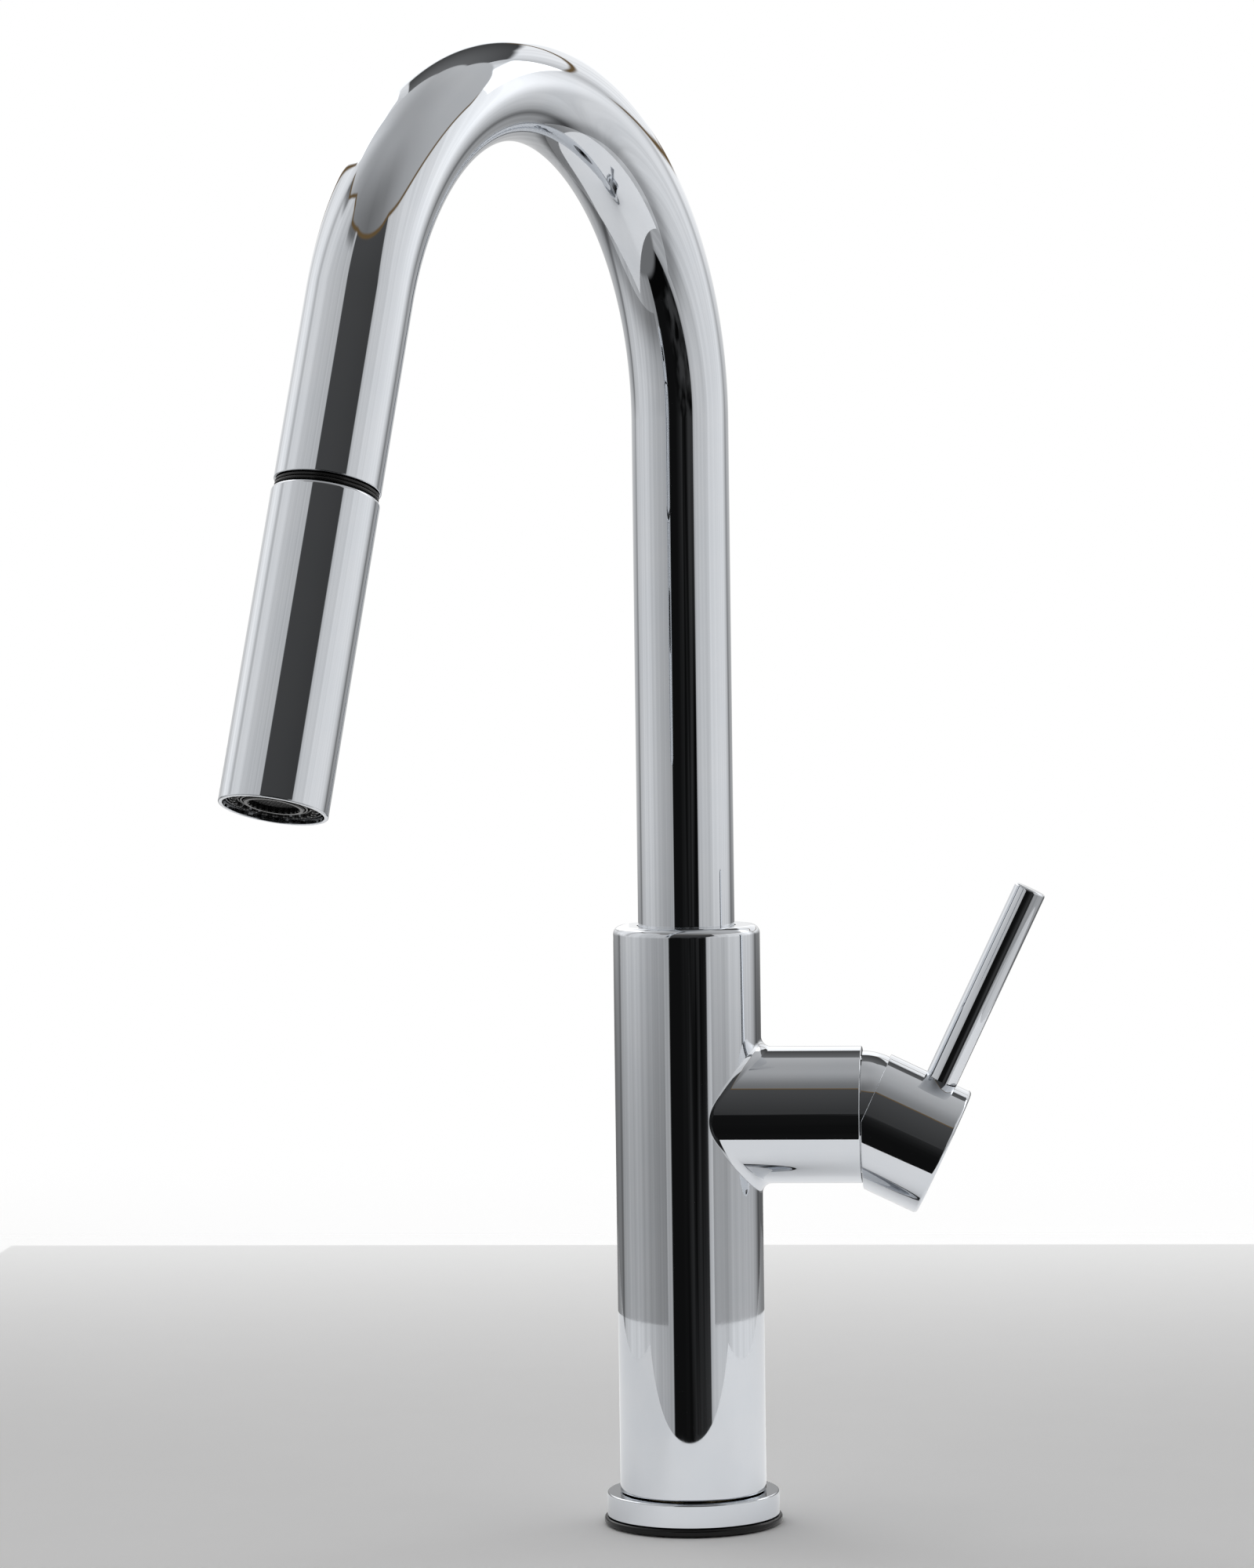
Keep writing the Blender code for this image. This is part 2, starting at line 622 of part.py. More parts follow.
# Handle
def make_handle():
    corner = arc(CAP_LENGTH - CAP_EDGE, CAP_EDGE, 90, 0, 3)
    edge = [(CAP_R - CAP_EDGE + radius, height) for radius, height in corner]
    outline = [(0.0, CAP_LENGTH), *edge, (CAP_R, -0.01), (0.0, -0.01)]
    cap = turned("handle_cap", outline, CHROME, HANDLE, sides=FINE)
    hollow_r = DOME_R + CLEAR
    ball = [*arc(0.0, hollow_r, 90, 0, 6)[:-1], (hollow_r, 0.0), (hollow_r, -0.02), (0.0, -0.02)]
    hollow = turned("cap_hollow", ball, None, HANDLE, sides=FINE)
    size = 3 * CAP_R
    socket_end = CAP_LENGTH - 0.0018
    screw_at = CAP_LENGTH - 0.0037
    down = Matrix.Translation((0, 0, screw_at)) @ Matrix.Rotation(pi / 2, 4, "Y")
    up = Matrix.Translation((0, 0, LEVER_AT)) @ Matrix.Rotation(-pi / 2, 4, "Y")
    tenon_foot = sqrt(hollow_r**2 - (LEVER_AT - TENON_R - CLEAR) ** 2) + 0.0010
    cut(
        cap,
        hollow,
        box("cap_rim_cut", (-size, -size, -size), (size, size, CLEAR), None, HANDLE),
        box("cap_wedge_cut", (-size, -size, -size), (size, size, ARM_END + CLEAR), None, ARM),
        rod("stem_socket", STEM_R + CLEAR, 0.0, socket_end, None, HANDLE),
        rod("set_screw_hole", SCREW_R + CLEAR, 0.0, 2 * CAP_R, None, HANDLE, down),
        rod("tenon_hole", TENON_R + CLEAR, tenon_foot, 2 * CAP_R, None, HANDLE, up),
    )
    bar = [
        (0.0, LEVER_TIP), (LEVER_R - TIP_EDGE, LEVER_TIP), (LEVER_R, LEVER_TIP - TIP_EDGE),
        (LEVER_R, CAP_R - 0.0020), (0.0, CAP_R - 0.0020),
    ]
    lever = turned("lever_rod", bar, CHROME, HANDLE, up, sides=MEDIUM)
    cut(lever, rod("lever_foot", CAP_R + CLEAR, 0.0, 2 * CAP_LENGTH, None, HANDLE, sides=FINE))
    join(lever, rod("lever_tenon", TENON_R, tenon_foot + CLEAR, CAP_R + 0.0040, None, HANDLE, up))
    stem_outline = [
        (0.0, socket_end - CLEAR), (STEM_R, socket_end - CLEAR), (STEM_R, -0.0045), (STEM_TAIL_R, -0.0045),
        (STEM_TAIL_R, -STEM_TAIL), (0.0, -STEM_TAIL),
    ]
    stem = turned("cartridge_stem", stem_outline, STEEL, HANDLE)
    across = Matrix.Rotation(pi / 2, 4, "X")
    cut(stem, rod("stem_pin_hole", PIN_R + CLEAR, -2 * STEM_R, 2 * STEM_R, None, HANDLE, across))
    screw_head = CAP_R - 0.0060
    rod("handle_set_screw", SCREW_R, STEM_R + CLEAR, screw_head, STEEL, HANDLE, down)
    rod("set_screw_plug", SCREW_R, screw_head + 0.0015, CAP_R - CLEAR, RUBBER, HANDLE, down)


# Spout
def make_spout():
    steps = 13
    points = [Vector((0, 0, SLEEVE_LOW)), Vector((0, 0, BODY_TOP + 0.02))]
    points += [spout_point(BEND_ANGLE * i / steps) for i in range(steps + 1)]
    points.append(spout_point(BEND_ANGLE, LEG - SEAM - CLEAR))
    pipe("spout_tube", points, TUBE_R, CHROME, SPOUT, TUBE_WALL, resolution=8)


def make_swivel():
    bearing_t = 0.0034
    high = ROOF - bearing_t - 2 * CLEAR
    inner, outer = TUBE_R + CLEAR, BODY_BORE - SWIVEL_GAP
    groove = outer - 0.0012
    ring_r = (BODY_BORE - groove - CLEAR) / 2
    half = ring_r + 0.0002
    rise = (high - SLEEVE_LOW) / 4
    outline = [(outer, high)]
    for height in (high - rise, SLEEVE_LOW + rise):
        upper, lower = height + half, height - half
        outline += [(outer, upper), (groove, upper), (groove, lower), (outer, lower)]
    outline += [(outer, SLEEVE_LOW), (inner, SLEEVE_LOW), (inner, high)]
    turned("swivel_sleeve", outline, BRASS, SPOUT, sides=MEDIUM, loop=True)
    major = (groove + BODY_BORE) / 2
    torus("spout_o_ring_upper", major, ring_r, high - rise, RUBBER, SPOUT)
    torus("spout_o_ring_lower", major, ring_r, SLEEVE_LOW + rise, RUBBER, SPOUT)
    wide, top = BODY_BORE - CLEAR, ROOF - CLEAR
    ring("swivel_bearing_upper", TUBE_R + RUN, wide, top - bearing_t, top, WHITE_PLASTIC, sides=MEDIUM)
    top = SLEEVE_LOW - CLEAR
    low = top - 0.0022
    ring("swivel_bearing_lower", TUBE_R - 0.0010, wide, low, top, WHITE_PLASTIC, sides=MEDIUM)
    clip_top = low - CLEAR
    clip = ring("spout_retaining_ring", TUBE_R, wide, clip_top - 0.0014, clip_top, STEEL, sides=MEDIUM)
    cut(clip, box("clip_gap", (-2 * wide, -0.002, clip_top - 0.01), (0, 0.002, clip_top + 0.01), None))


def make_dock():
    """The black guide in the spout's end. The frame's Z runs down, so heights in the spout are negative."""
    inner, outer = NOSE_R + RUN, TUBE_R - TUBE_WALL - CLEAR
    seam_face = -CLEAR / 2
    outline = [
        (BAND_R, seam_face), (BAND_R, -SEAM), (outer, -SEAM), (outer, -GUIDE_TOP), (inner, -GUIDE_TOP),
        (inner, seam_face),
    ]
    turned("dock_guide", outline, BLACK_PLASTIC, SPOUT_END, sides=MEDIUM, loop=True)


def make_hose():
    runs, steps = 7, 14
    points = [Vector((0, 0, HOSE_FOOT + (STRAIGHT_TOP - HOSE_FOOT) * i / runs)) for i in range(runs)]
    points += [spout_point(BEND_ANGLE * i / steps) for i in range(steps + 1)]
    points.append(spout_point(BEND_ANGLE, LEG - FERRULE_END - CLEAR))
    pipe("spray_hose", points, HOSE_R, BRAID, SPOUT)
    top = HOSE_FOOT - CLEAR
    coupling = prism("hose_coupling", 6, COUPLING_R, top - 0.0060, top, BRASS, SPOUT)
    join(coupling, rod("coupling_stub", COUPLING_R - 0.0018, top - 0.0140, top - 0.0050, None, SPOUT))
    cut(coupling, rod("coupling_bore", STEM_BORE, top - 0.02, top + 0.01, None, SPOUT))


def make_hose_end():
    ring("hose_ferrule", HOSE_R + CLEAR, HOSE_R + 0.0013, -0.0220, -FERRULE_END, STEEL, HOSE_END)
    wide, top, end = NUT_INSIDE - CLEAR, CLEAR - FERRULE_END, STEM_FLANGE + STEM_FLANGE_T
    outline = [
        (STEM_BORE, top), (STEM_BORE, end), (wide, end), (wide, STEM_FLANGE), (STEM_NECK, STEM_FLANGE),
        (STEM_NECK, top),
    ]
    turned("swivel_stem", outline, BRASS, HOSE_END, loop=True)


# Wand. Its frame's Z runs down the wand, so an outer side that runs downwards here climbs towards the seam.
def make_wand_shell():
    top = SEAM + CLEAR
    corner = arc(top + WAND_EDGE, WAND_EDGE, 0, -90, 3)
    outline = [
        (WAND_BORE, top), (WAND_BORE, WAND_LENGTH - RIM_EDGE), (WAND_BORE + RIM_EDGE, WAND_LENGTH),
        (WAND_R - RIM_EDGE, WAND_LENGTH), (WAND_R, WAND_LENGTH - RIM_EDGE),
        *[(WAND_R - WAND_EDGE + radius, height) for radius, height in corner][:-1],
        (WAND_R - WAND_EDGE, top),
    ]
    shell = turned("wand_shell", outline, CHROME, WAND, sides=FINE, loop=True)
    slot = prism(
        "button_slot", 16, BUTTON_WIDTH / 2 + CLEAR, 0.0, 2 * WAND_R, None, BUTTON,
        stretch=BUTTON_LENGTH - BUTTON_WIDTH,
    )
    cut(shell, slot)


def make_wand_top():
    skirt, seam_face = WAND_BORE - CLEAR, CLEAR / 2
    outline = [
        (NOSE_R, seam_face), (NOSE_R, -NOSE_TOP), (NUT_INSIDE, -NOSE_TOP), (NUT_INSIDE, COLLAR_LOW),
        (skirt, COLLAR_LOW), (skirt, SEAM), (BAND_R, SEAM), (BAND_R, seam_face),
    ]
    turned("wand_collar", outline, BLACK_PLASTIC, WAND, sides=MEDIUM, loop=True)
    wide = NUT_INSIDE - CLEAR
    ring("hose_nut", STEM_NECK + RUN, wide, -0.0060, STEM_FLANGE - CLEAR, BRASS, WAND)
    low = STEM_FLANGE + STEM_FLANGE_T + CLEAR
    ring("connector_washer", STEM_BORE, wide, low, low + 0.0016, RUBBER, WAND)


def make_wand_core():
    wide, rim, pocket = WAND_BORE - RUN, WAND_BORE - RUN - 0.0016, VALVE_R + CLEAR
    valve_end = CORE_TOP + VALVE_LENGTH
    outline = [
        (pocket, CORE_TOP), (pocket, valve_end + CLEAR), (CORE_BORE, valve_end + CLEAR),
        (CORE_BORE, CORE_LOW - 0.0090), (rim, CORE_LOW - 0.0080), (rim, CORE_LOW), (wide, CORE_LOW),
        (wide, CORE_LOW - 0.0100), (CORE_WAIST, CORE_LOW - 0.0110), (CORE_WAIST, CORE_SHOULDER),
        (wide, CORE_SHOULDER - 0.0006), (wide, CORE_TOP),
    ]
    core = turned("wand_core", outline, GREY_PLASTIC, WAND, sides=MEDIUM, loop=True)
    cut(core, rod("spool_bore", SPOOL_R + CLEAR, -SPOOL_R, 2 * CORE_WAIST, None, BUTTON))
    ring("check_valve", 0.0022, VALVE_R, CORE_TOP + CLEAR, valve_end, WHITE_PLASTIC, WAND)


def make_button():
    width, stretch = BUTTON_WIDTH / 2, BUTTON_LENGTH - BUTTON_WIDTH
    proud, lip = WAND_R + BUTTON_PROUD, BUTTON_WIDTH / 2 + BUTTON_LIP
    button = prism("spray_button", 16, width, BUTTON_BACK, proud, BLACK_PLASTIC, BUTTON, stretch=stretch)
    flange = prism("button_flange", 16, lip, BUTTON_BACK, BUTTON_FLANGE, None, BUTTON, stretch=stretch)
    join(button, flange)
    spool_foot = max(0.0, CORE_WAIST - 0.0050)
    rod("diverter_spool", SPOOL_R, spool_foot, BUTTON_BACK - CLEAR, BRASS, BUTTON)
    turns, per_turn = 3, 10
    low, high = CORE_WAIST + SPRING_WIRE + CLEAR, BUTTON_BACK - SPRING_WIRE - CLEAR
    coil_r = SPOOL_R + SPRING_WIRE + RUN
    count = turns * per_turn
    points = []
    for i in range(count + 1):
        turn = 2 * pi * i / per_turn
        points.append((coil_r * cos(turn), coil_r * sin(turn), low + (high - low) * i / count))
    pipe("button_spring", points, SPRING_WIRE, STEEL, BUTTON, resolution=1)


def make_spray_face():
    wide, hole = WAND_BORE - CLEAR, AERATOR_R + CLEAR
    groove_at, groove_r, seal_r = FACE_TOP + 0.0040, wide - 0.0014, 0.0007
    groove_top, groove_low = groove_at - seal_r - 0.0002, groove_at + seal_r + 0.0002
    outline = [
        (hole, FACE_TOP), (hole, FACE_LOW), (wide, FACE_LOW), (wide, groove_low), (groove_r, groove_low),
        (groove_r, groove_top), (wide, groove_top), (wide, FACE_TOP),
    ]
    face = turned("spray_face", outline, BLACK_PLASTIC, WAND, sides=MEDIUM, loop=True)
    torus("face_o_ring", (groove_r + WAND_BORE) / 2, seal_r, groove_at, RUBBER, WAND)
    middle, deep = (wide + hole) / 2, FACE_LOW - NOZZLE_DEPTH
    inner, outer = middle - NOZZLE_HALF, middle + NOZZLE_HALF
    low, high = inner - CLEAR, outer + CLEAR
    cut(face, ring("nozzle_groove", low, high, deep, WAND_LENGTH, None, WAND, sides=MEDIUM))
    face_of_ring = FACE_LOW - 0.0002
    nozzles = ring("nozzle_ring", inner, outer, deep + CLEAR, face_of_ring, RUBBER, WAND, sides=MEDIUM)
    mesh = bpy.data.meshes.new("nozzle_tips")
    shape = bmesh.new()
    for i in range(NOZZLES):
        turn = 2 * pi * i / NOZZLES
        spot = Matrix.Translation((middle * cos(turn), middle * sin(turn), FACE_LOW - 0.0001))
        bmesh.ops.create_cone(
            shape, cap_ends=True, segments=6, radius1=0.0009, radius2=0.0006, depth=0.0012, matrix=spot
        )
    shape.to_mesh(mesh)
    shape.free()
    join(nozzles, add("nozzle_tips", mesh, None, WAND))
    bore, end = AERATOR_R - AERATOR_WALL, FACE_LOW + 0.0004
    ring("aerator_housing", bore, AERATOR_R, FACE_TOP, end, BLACK_PLASTIC, WAND, sides=MEDIUM)
    rod("aerator_screen", bore - CLEAR, FACE_LOW - 0.0030, FACE_LOW - 0.0006, STEEL, WAND)


make_base()
make_body()
make_shank()
make_deck_clamp()
make_manifold()
make_inlet_tubes()
make_cartridge()
make_bonnet()
make_stem_carrier()
make_moving_disc()
make_handle()
make_spout()
make_swivel()
make_dock()
make_hose()
make_hose_end()
make_wand_shell()
make_wand_top()
make_wand_core()
make_button()
make_spray_face()
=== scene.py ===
import json
from math import atan2, cos, pi, radians, sin, sqrt, tan

import bpy
import numpy as np
from mathutils import Matrix, Vector


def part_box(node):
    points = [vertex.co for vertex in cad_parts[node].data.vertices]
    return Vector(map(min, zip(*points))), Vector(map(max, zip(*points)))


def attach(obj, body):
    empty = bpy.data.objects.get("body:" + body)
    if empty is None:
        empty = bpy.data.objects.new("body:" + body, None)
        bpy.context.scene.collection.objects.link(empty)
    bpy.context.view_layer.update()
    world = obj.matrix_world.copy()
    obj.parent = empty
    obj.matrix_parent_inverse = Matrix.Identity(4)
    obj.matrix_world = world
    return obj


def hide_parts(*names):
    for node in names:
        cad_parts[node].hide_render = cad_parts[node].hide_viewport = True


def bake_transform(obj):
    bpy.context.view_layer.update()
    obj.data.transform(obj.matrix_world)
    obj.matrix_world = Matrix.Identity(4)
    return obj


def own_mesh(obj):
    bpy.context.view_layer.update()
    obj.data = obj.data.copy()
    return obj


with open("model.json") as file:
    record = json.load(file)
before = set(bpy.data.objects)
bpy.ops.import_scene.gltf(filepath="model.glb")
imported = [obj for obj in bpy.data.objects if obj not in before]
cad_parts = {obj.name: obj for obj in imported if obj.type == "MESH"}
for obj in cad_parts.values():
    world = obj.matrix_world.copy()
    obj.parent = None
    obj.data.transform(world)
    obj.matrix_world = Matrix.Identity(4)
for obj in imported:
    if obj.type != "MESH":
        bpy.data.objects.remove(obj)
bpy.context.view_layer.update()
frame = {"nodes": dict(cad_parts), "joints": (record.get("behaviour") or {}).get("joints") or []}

# Pull down kitchen faucet: the fine chrome skins, the braided hose, the threads and the studio.
# Metres, +Z up, side arm along +X.

joints = {joint["name"]: joint for joint in frame["joints"]}


def nodeLow(node, axis):
    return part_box(node)[0][axis]


def nodeHigh(node, axis):
    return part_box(node)[1][axis]


# ---- frames: each piece is drawn about its own Z and then set in place

def axisFrame(origin, along, across):
    """Rows are X, Y, Z of a frame with Z along one direction and X as near as it can be to another."""
    zAxis = np.array(along, float)
    zAxis /= np.linalg.norm(zAxis)
    xAxis = np.array(across, float)
    xAxis -= zAxis * xAxis.dot(zAxis)
    xAxis /= np.linalg.norm(xAxis)
    return np.array(origin, float), np.array([xAxis, np.cross(zAxis, xAxis), zAxis])


upright = axisFrame((0, 0, 0), (0, 0, 1), (1, 0, 0))
seamPoint = joints["wand_spin"]["pos_m"]
wandAlong = joints["wand_pull"]["axis"]
columnSide = [-part for part in joints["spray_button_press"]["axis"]]
wandFrame = axisFrame(seamPoint, wandAlong, columnSide)
handlePoint = joints["handle_lift"]["pos_m"]
handleTilt = radians(-joints["handle_lift"]["range_deg"][0])
capFrame = axisFrame(handlePoint, (cos(handleTilt), 0, -sin(handleTilt)), (-sin(handleTilt), 0, -cos(handleTilt)))
armFrame = axisFrame((0, 0, handlePoint[2]), (1, 0, 0), (0, 0, -1))


def placed(patches, where):
    origin, axes = where
    return [(points @ axes + origin, None if normals is None else normals @ axes) for points, normals in patches]


# ---- surfaces: a patch is a grid of points with a grid of normals

def stackGrid(x, y, z):
    return np.stack(np.broadcast_arrays(x, y, z), axis=-1).astype(float)


def polar(radius, angle, height):
    return stackGrid(radius * np.cos(angle), radius * np.sin(angle), height)


def weldPatches(patches, grain=1e-7, shift=0.1234567):
    """Joins patches where their points meet, on a grid that is shifted off round numbers.
    Quads that close to a line are dropped, and those that close to a point are triangles."""
    points, normals, quads, start = [], [], [], 0
    for grid, facing in patches:
        rows, columns = grid.shape[:2]
        index = start + np.arange(rows * columns).reshape(rows, columns)
        corners = np.stack([index[:-1, :-1], index[1:, :-1], index[1:, 1:], index[:-1, 1:]], axis=-1)
        if facing is None:
            facing = np.zeros(grid.shape)
        else:
            down = grid[1:, :-1] - grid[:-1, :-1] + grid[1:, 1:] - grid[:-1, 1:]
            right = grid[:-1, 1:] - grid[:-1, :-1] + grid[1:, 1:] - grid[1:, :-1]
            if np.einsum("ijk,ijk->", np.cross(down, right), facing[:-1, :-1] + facing[1:, 1:]) < 0:
                corners = corners[..., ::-1]
        points.append(grid.reshape(-1, 3))
        normals.append(facing.reshape(-1, 3))
        quads.append(corners.reshape(-1, 4))
        start += rows * columns
    points, normals, quads = (np.concatenate(part) for part in (points, normals, quads))
    keys = np.round(points / grain + shift).astype(np.int64)
    _, first, where = np.unique(keys, axis=0, return_index=True, return_inverse=True)
    welded = where.reshape(-1)[quads]
    kept = welded != np.roll(welded, -1, axis=1)
    full = kept.sum(axis=1) >= 3
    return points[first], normals, quads[full], welded[full], kept[full]


def addObject(name, data):
    made = bpy.data.objects.new(name, data)
    bpy.context.scene.collection.objects.link(made)
    return made


def makePiece(name, patches, material, body=None, node=None, sharp=None):
    """One closed mesh from its patches, that rides on a body if one is given.
    Its normals are the patches' own, or by the angle between faces if sharp is set."""
    points, normals, quads, welded, kept = weldPatches(patches)
    mesh = bpy.data.meshes.new(name)
    counts = kept.sum(axis=1)
    vertexOf = welded[kept].astype(np.int32)
    mesh.vertices.add(len(points))
    mesh.vertices.foreach_set("co", points.astype(np.float32).ravel())
    mesh.loops.add(len(vertexOf))
    mesh.loops.foreach_set("vertex_index", vertexOf)
    mesh.polygons.add(len(counts))
    mesh.polygons.foreach_set("loop_start", (np.cumsum(counts) - counts).astype(np.int32))
    mesh.update(calc_edges=True)
    mesh.polygons.foreach_set("use_smooth", np.ones(len(counts), bool))
    if sharp is None:
        unit = normals / np.maximum(np.linalg.norm(normals, axis=1, keepdims=True), 1e-12)
        mesh.normals_split_custom_set(unit[quads[kept]].tolist())
    else:
        mesh.set_sharp_from_angle(angle=radians(sharp))
    mesh.materials.append(material)
    piece = addObject(name, mesh)
    if body:
        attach(piece, body)
    if node:
        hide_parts(node)
    return piece


def roundedOutline(corners, closed=True, steps=6):
    """A flat outline of (radius, height, rounding) corners as runs of points with outward normals.
    A straight run joins two corners, and a rounded corner is an arc that touches both runs."""
    count = len(corners)
    spots = np.array([corner[:2] for corner in corners], float)
    area = np.sum(spots[:, 0] * np.roll(spots[:, 1], -1) - np.roll(spots[:, 0], -1) * spots[:, 1])
    side = 1.0 if area > 0 else -1.0
    starts, ends, arcs = spots.copy(), spots.copy(), [None] * count
    for i, (_, _, rounding) in enumerate(corners):
        if rounding <= 0:
            continue
        before, after = spots[i] - spots[i - 1], spots[(i + 1) % count] - spots[i]
        before, after = before / np.linalg.norm(before), after / np.linalg.norm(after)
        turn = atan2(before[0] * after[1] - before[1] * after[0], before.dot(after))
        way = 1 if turn > 0 else -1
        reach = rounding * tan(abs(turn) / 2)
        starts[i], ends[i] = spots[i] - before * reach, spots[i] + after * reach
        out = np.array([before[1], -before[0]]) * way
        centre = starts[i] - out * rounding
        c, s = (wave(np.linspace(0, turn, steps + 1)) for wave in (np.cos, np.sin))
        arm = np.stack([out[0] * c - out[1] * s, out[0] * s + out[1] * c], 1)
        arcs[i] = np.hstack([centre + arm * rounding, arm * side * way])
    runs = []
    for i in range(count if closed else count - 1):
        if arcs[i] is not None:
            runs.append(arcs[i])
        a, b = ends[i], starts[(i + 1) % count]
        length = np.linalg.norm(b - a)
        if length > 1e-9:
            normal = np.array([b[1] - a[1], a[0] - b[0]]) / length * side
            runs.append(np.array([[*a, *normal], [*b, *normal]]))
    return runs


def turnedPatches(runs, around=192):
    """Each run of (radius, height, normal) turned a full circle about Z."""
    angle = np.linspace(-pi, pi, around + 1)
    patches = []
    for run in runs:
        r, z, outward, upward = (column[:, None] for column in run.T)
        patches.append((polar(r, angle, z), polar(outward, angle, upward)))
    return patches


def turnedPiece(name, corners, material, body, where, node, around=192):
    patches = turnedPatches(roundedOutline(corners), around)
    return makePiece(name, placed(patches, where), material, body, node)


def sweptPatches(centres, across, beside, radius, around):
    """A tube: circles of one radius round each centre, in the plane of its two side directions."""
    angle = np.linspace(-pi, pi, around + 1)
    c, s = np.cos(angle)[None, :, None], np.sin(angle)[None, :, None]
    normals = across[:, None, :] * c + beside[:, None, :] * s
    return centres[:, None, :] + normals * radius, normals


def crossedHole(bandRadius, holeRadius, fillet=0.0):
    """Where a round arm of holeRadius meets a round body of bandRadius: a ball of the fillet's radius rolls in the
    corner, and its touch on the body is the hole's outline, as an angle round the body and a height."""
    def outline(direction):
        reach = (holeRadius + fillet) / (bandRadius + fillet)
        return np.arcsin(reach * np.cos(direction)), (holeRadius + fillet) * np.sin(direction)
    return outline


def slotHole(bandRadius, halfWidth, halfStraight):
    """A slot with round ends, cut straight through the wall of a tube."""
    def outline(direction):
        c, s = np.cos(direction), np.sin(direction)
        toSide = halfWidth / np.maximum(np.abs(c), 1e-9)
        root = np.sqrt(np.maximum(halfWidth**2 - (halfStraight * c) ** 2, 0))
        toEnd = halfStraight * np.abs(s) + root
        reach = np.where(toSide * np.abs(s) <= halfStraight, toSide, toEnd)
        return np.arcsin(reach * c / bandRadius), reach * s
    return outline


def bandDirections(radius, low, high, centre, around, rise):
    """The unrolled band's border, walked once round from its upper left corner, and its direction from the hole."""
    angle, height = np.linspace(-pi, pi, around + 1), np.linspace(high, low, rise + 1)
    borderAngle = np.concatenate([angle[:-1], np.full(rise, pi), angle[:0:-1], np.full(rise + 1, -pi)])
    borderHeight = np.concatenate([np.full(around, high), height[:-1], np.full(around, low), height[::-1]])
    return borderAngle, borderHeight, np.arctan2(borderHeight - centre, borderAngle * radius)


def spreadBand(radius, hole, border, rows, outward=1, easing=1.0):
    """A band of a round tube. Grid lines run from a hole's outline to a border, each an (angle, height)."""
    share = (np.linspace(0, 1, rows + 1) ** easing)[:, None]
    angle = hole[0] + (border[0] - hole[0]) * share
    return polar(radius, angle, hole[1] * (1 - share) + border[1] * share), outward * polar(1.0, angle, 0.0)


def holedBand(radius, low, high, centre, outline, around, rise, rows):
    """A band with a hole that faces +X, and the direction of each of its grid lines from the hole."""
    borderAngle, borderHeight, direction = bandDirections(radius, low, high, centre, around, rise)
    angle, height = outline(direction)
    border = borderAngle, borderHeight
    return spreadBand(radius, (angle, centre + height), border, rows, easing=1.4), direction, border


# ---- shader groups that several finishes share

def newGroup(name, inputs, outputs):
    group = bpy.data.node_groups.new(name, "ShaderNodeTree")
    for label, kind, value in inputs:
        socket = group.interface.new_socket(name=label, in_out="INPUT", socket_type="NodeSocket" + kind)
        if value is not None:
            socket.default_value = value
    for label, kind in outputs:
        group.interface.new_socket(name=label, in_out="OUTPUT", socket_type="NodeSocket" + kind)
    return group, group.nodes.new("NodeGroupInput"), group.nodes.new("NodeGroupOutput")


def addNode(tree, kind, inputs=None, **settings):
    """A shader node whose inputs are each a value or an output to join."""
    node = tree.nodes.new("ShaderNode" + kind)
    for key, value in settings.items():
        setattr(node, key, value)
    for label, value in (inputs or {}).items():
        if isinstance(value, bpy.types.NodeSocket):
            tree.links.new(value, node.inputs[label])
        else:
            node.inputs[label].default_value = value
    return node


def addMath(tree, operation, *values):
    return addNode(tree, "Math", dict(enumerate(values)), operation=operation).outputs[0]


def times(tree, first, *others):
    for other in others:
        first = addMath(tree, "MULTIPLY", first, other)
    return first


def addSplit(tree, vector):
    return list(addNode(tree, "SeparateXYZ", {0: vector}).outputs)


def addBump(tree, height, distance=1.0, **more):
    return addNode(tree, "Bump", {"Height": height, "Distance": distance, **more}).outputs["Normal"]


def blendColours(tree, share, first, second):
    return addNode(tree, "Mix", {"Factor": share, 6: first, 7: second}, data_type="RGBA").outputs[2]


def addNoise(tree, vector, scale, detail=2.0, roughness=0.5):
    inputs = {"Vector": vector, "Scale": scale, "Detail": detail, "Roughness": roughness}
    return addNode(tree, "TexNoise", inputs).outputs["Fac"]


def mapRange(tree, value, fromLow, fromHigh, toLow=0.0, toHigh=1.0, kind="LINEAR"):
    inputs = {"Value": value, "From Min": fromLow, "From Max": fromHigh, "To Min": toLow, "To Max": toHigh}
    return addNode(tree, "MapRange", inputs, interpolation_type=kind).outputs["Result"]


def softRange(tree, value, fromLow, fromHigh, toLow=0.0, toHigh=1.0):
    return mapRange(tree, value, fromLow, fromHigh, toLow, toHigh, "SMOOTHSTEP")


def makeHandlingGroup():
    """Faint wiping marks and dust: a slow patchy noise times a fine one, as a roughness between two values."""
    group, given, result = newGroup(
        "handlingMarks",
        [("Vector", "Vector", None), ("Scale", "Float", 40.0), ("Low", "Float", 0.03), ("High", "Float", 0.06)],
        [("Roughness", "Float")],
    )
    vector, scale, low, high = given.outputs[:4]
    slow = addNoise(group, vector, scale, 3.0, 0.6)
    fine = addNoise(group, vector, times(group, scale, 14.0))
    mask = softRange(group, times(group, slow, addMath(group, "ADD", fine, 0.5)), 0.35, 0.75)
    group.links.new(mapRange(group, mask, 0.0, 1.0, low, high), result.inputs[0])
    return group


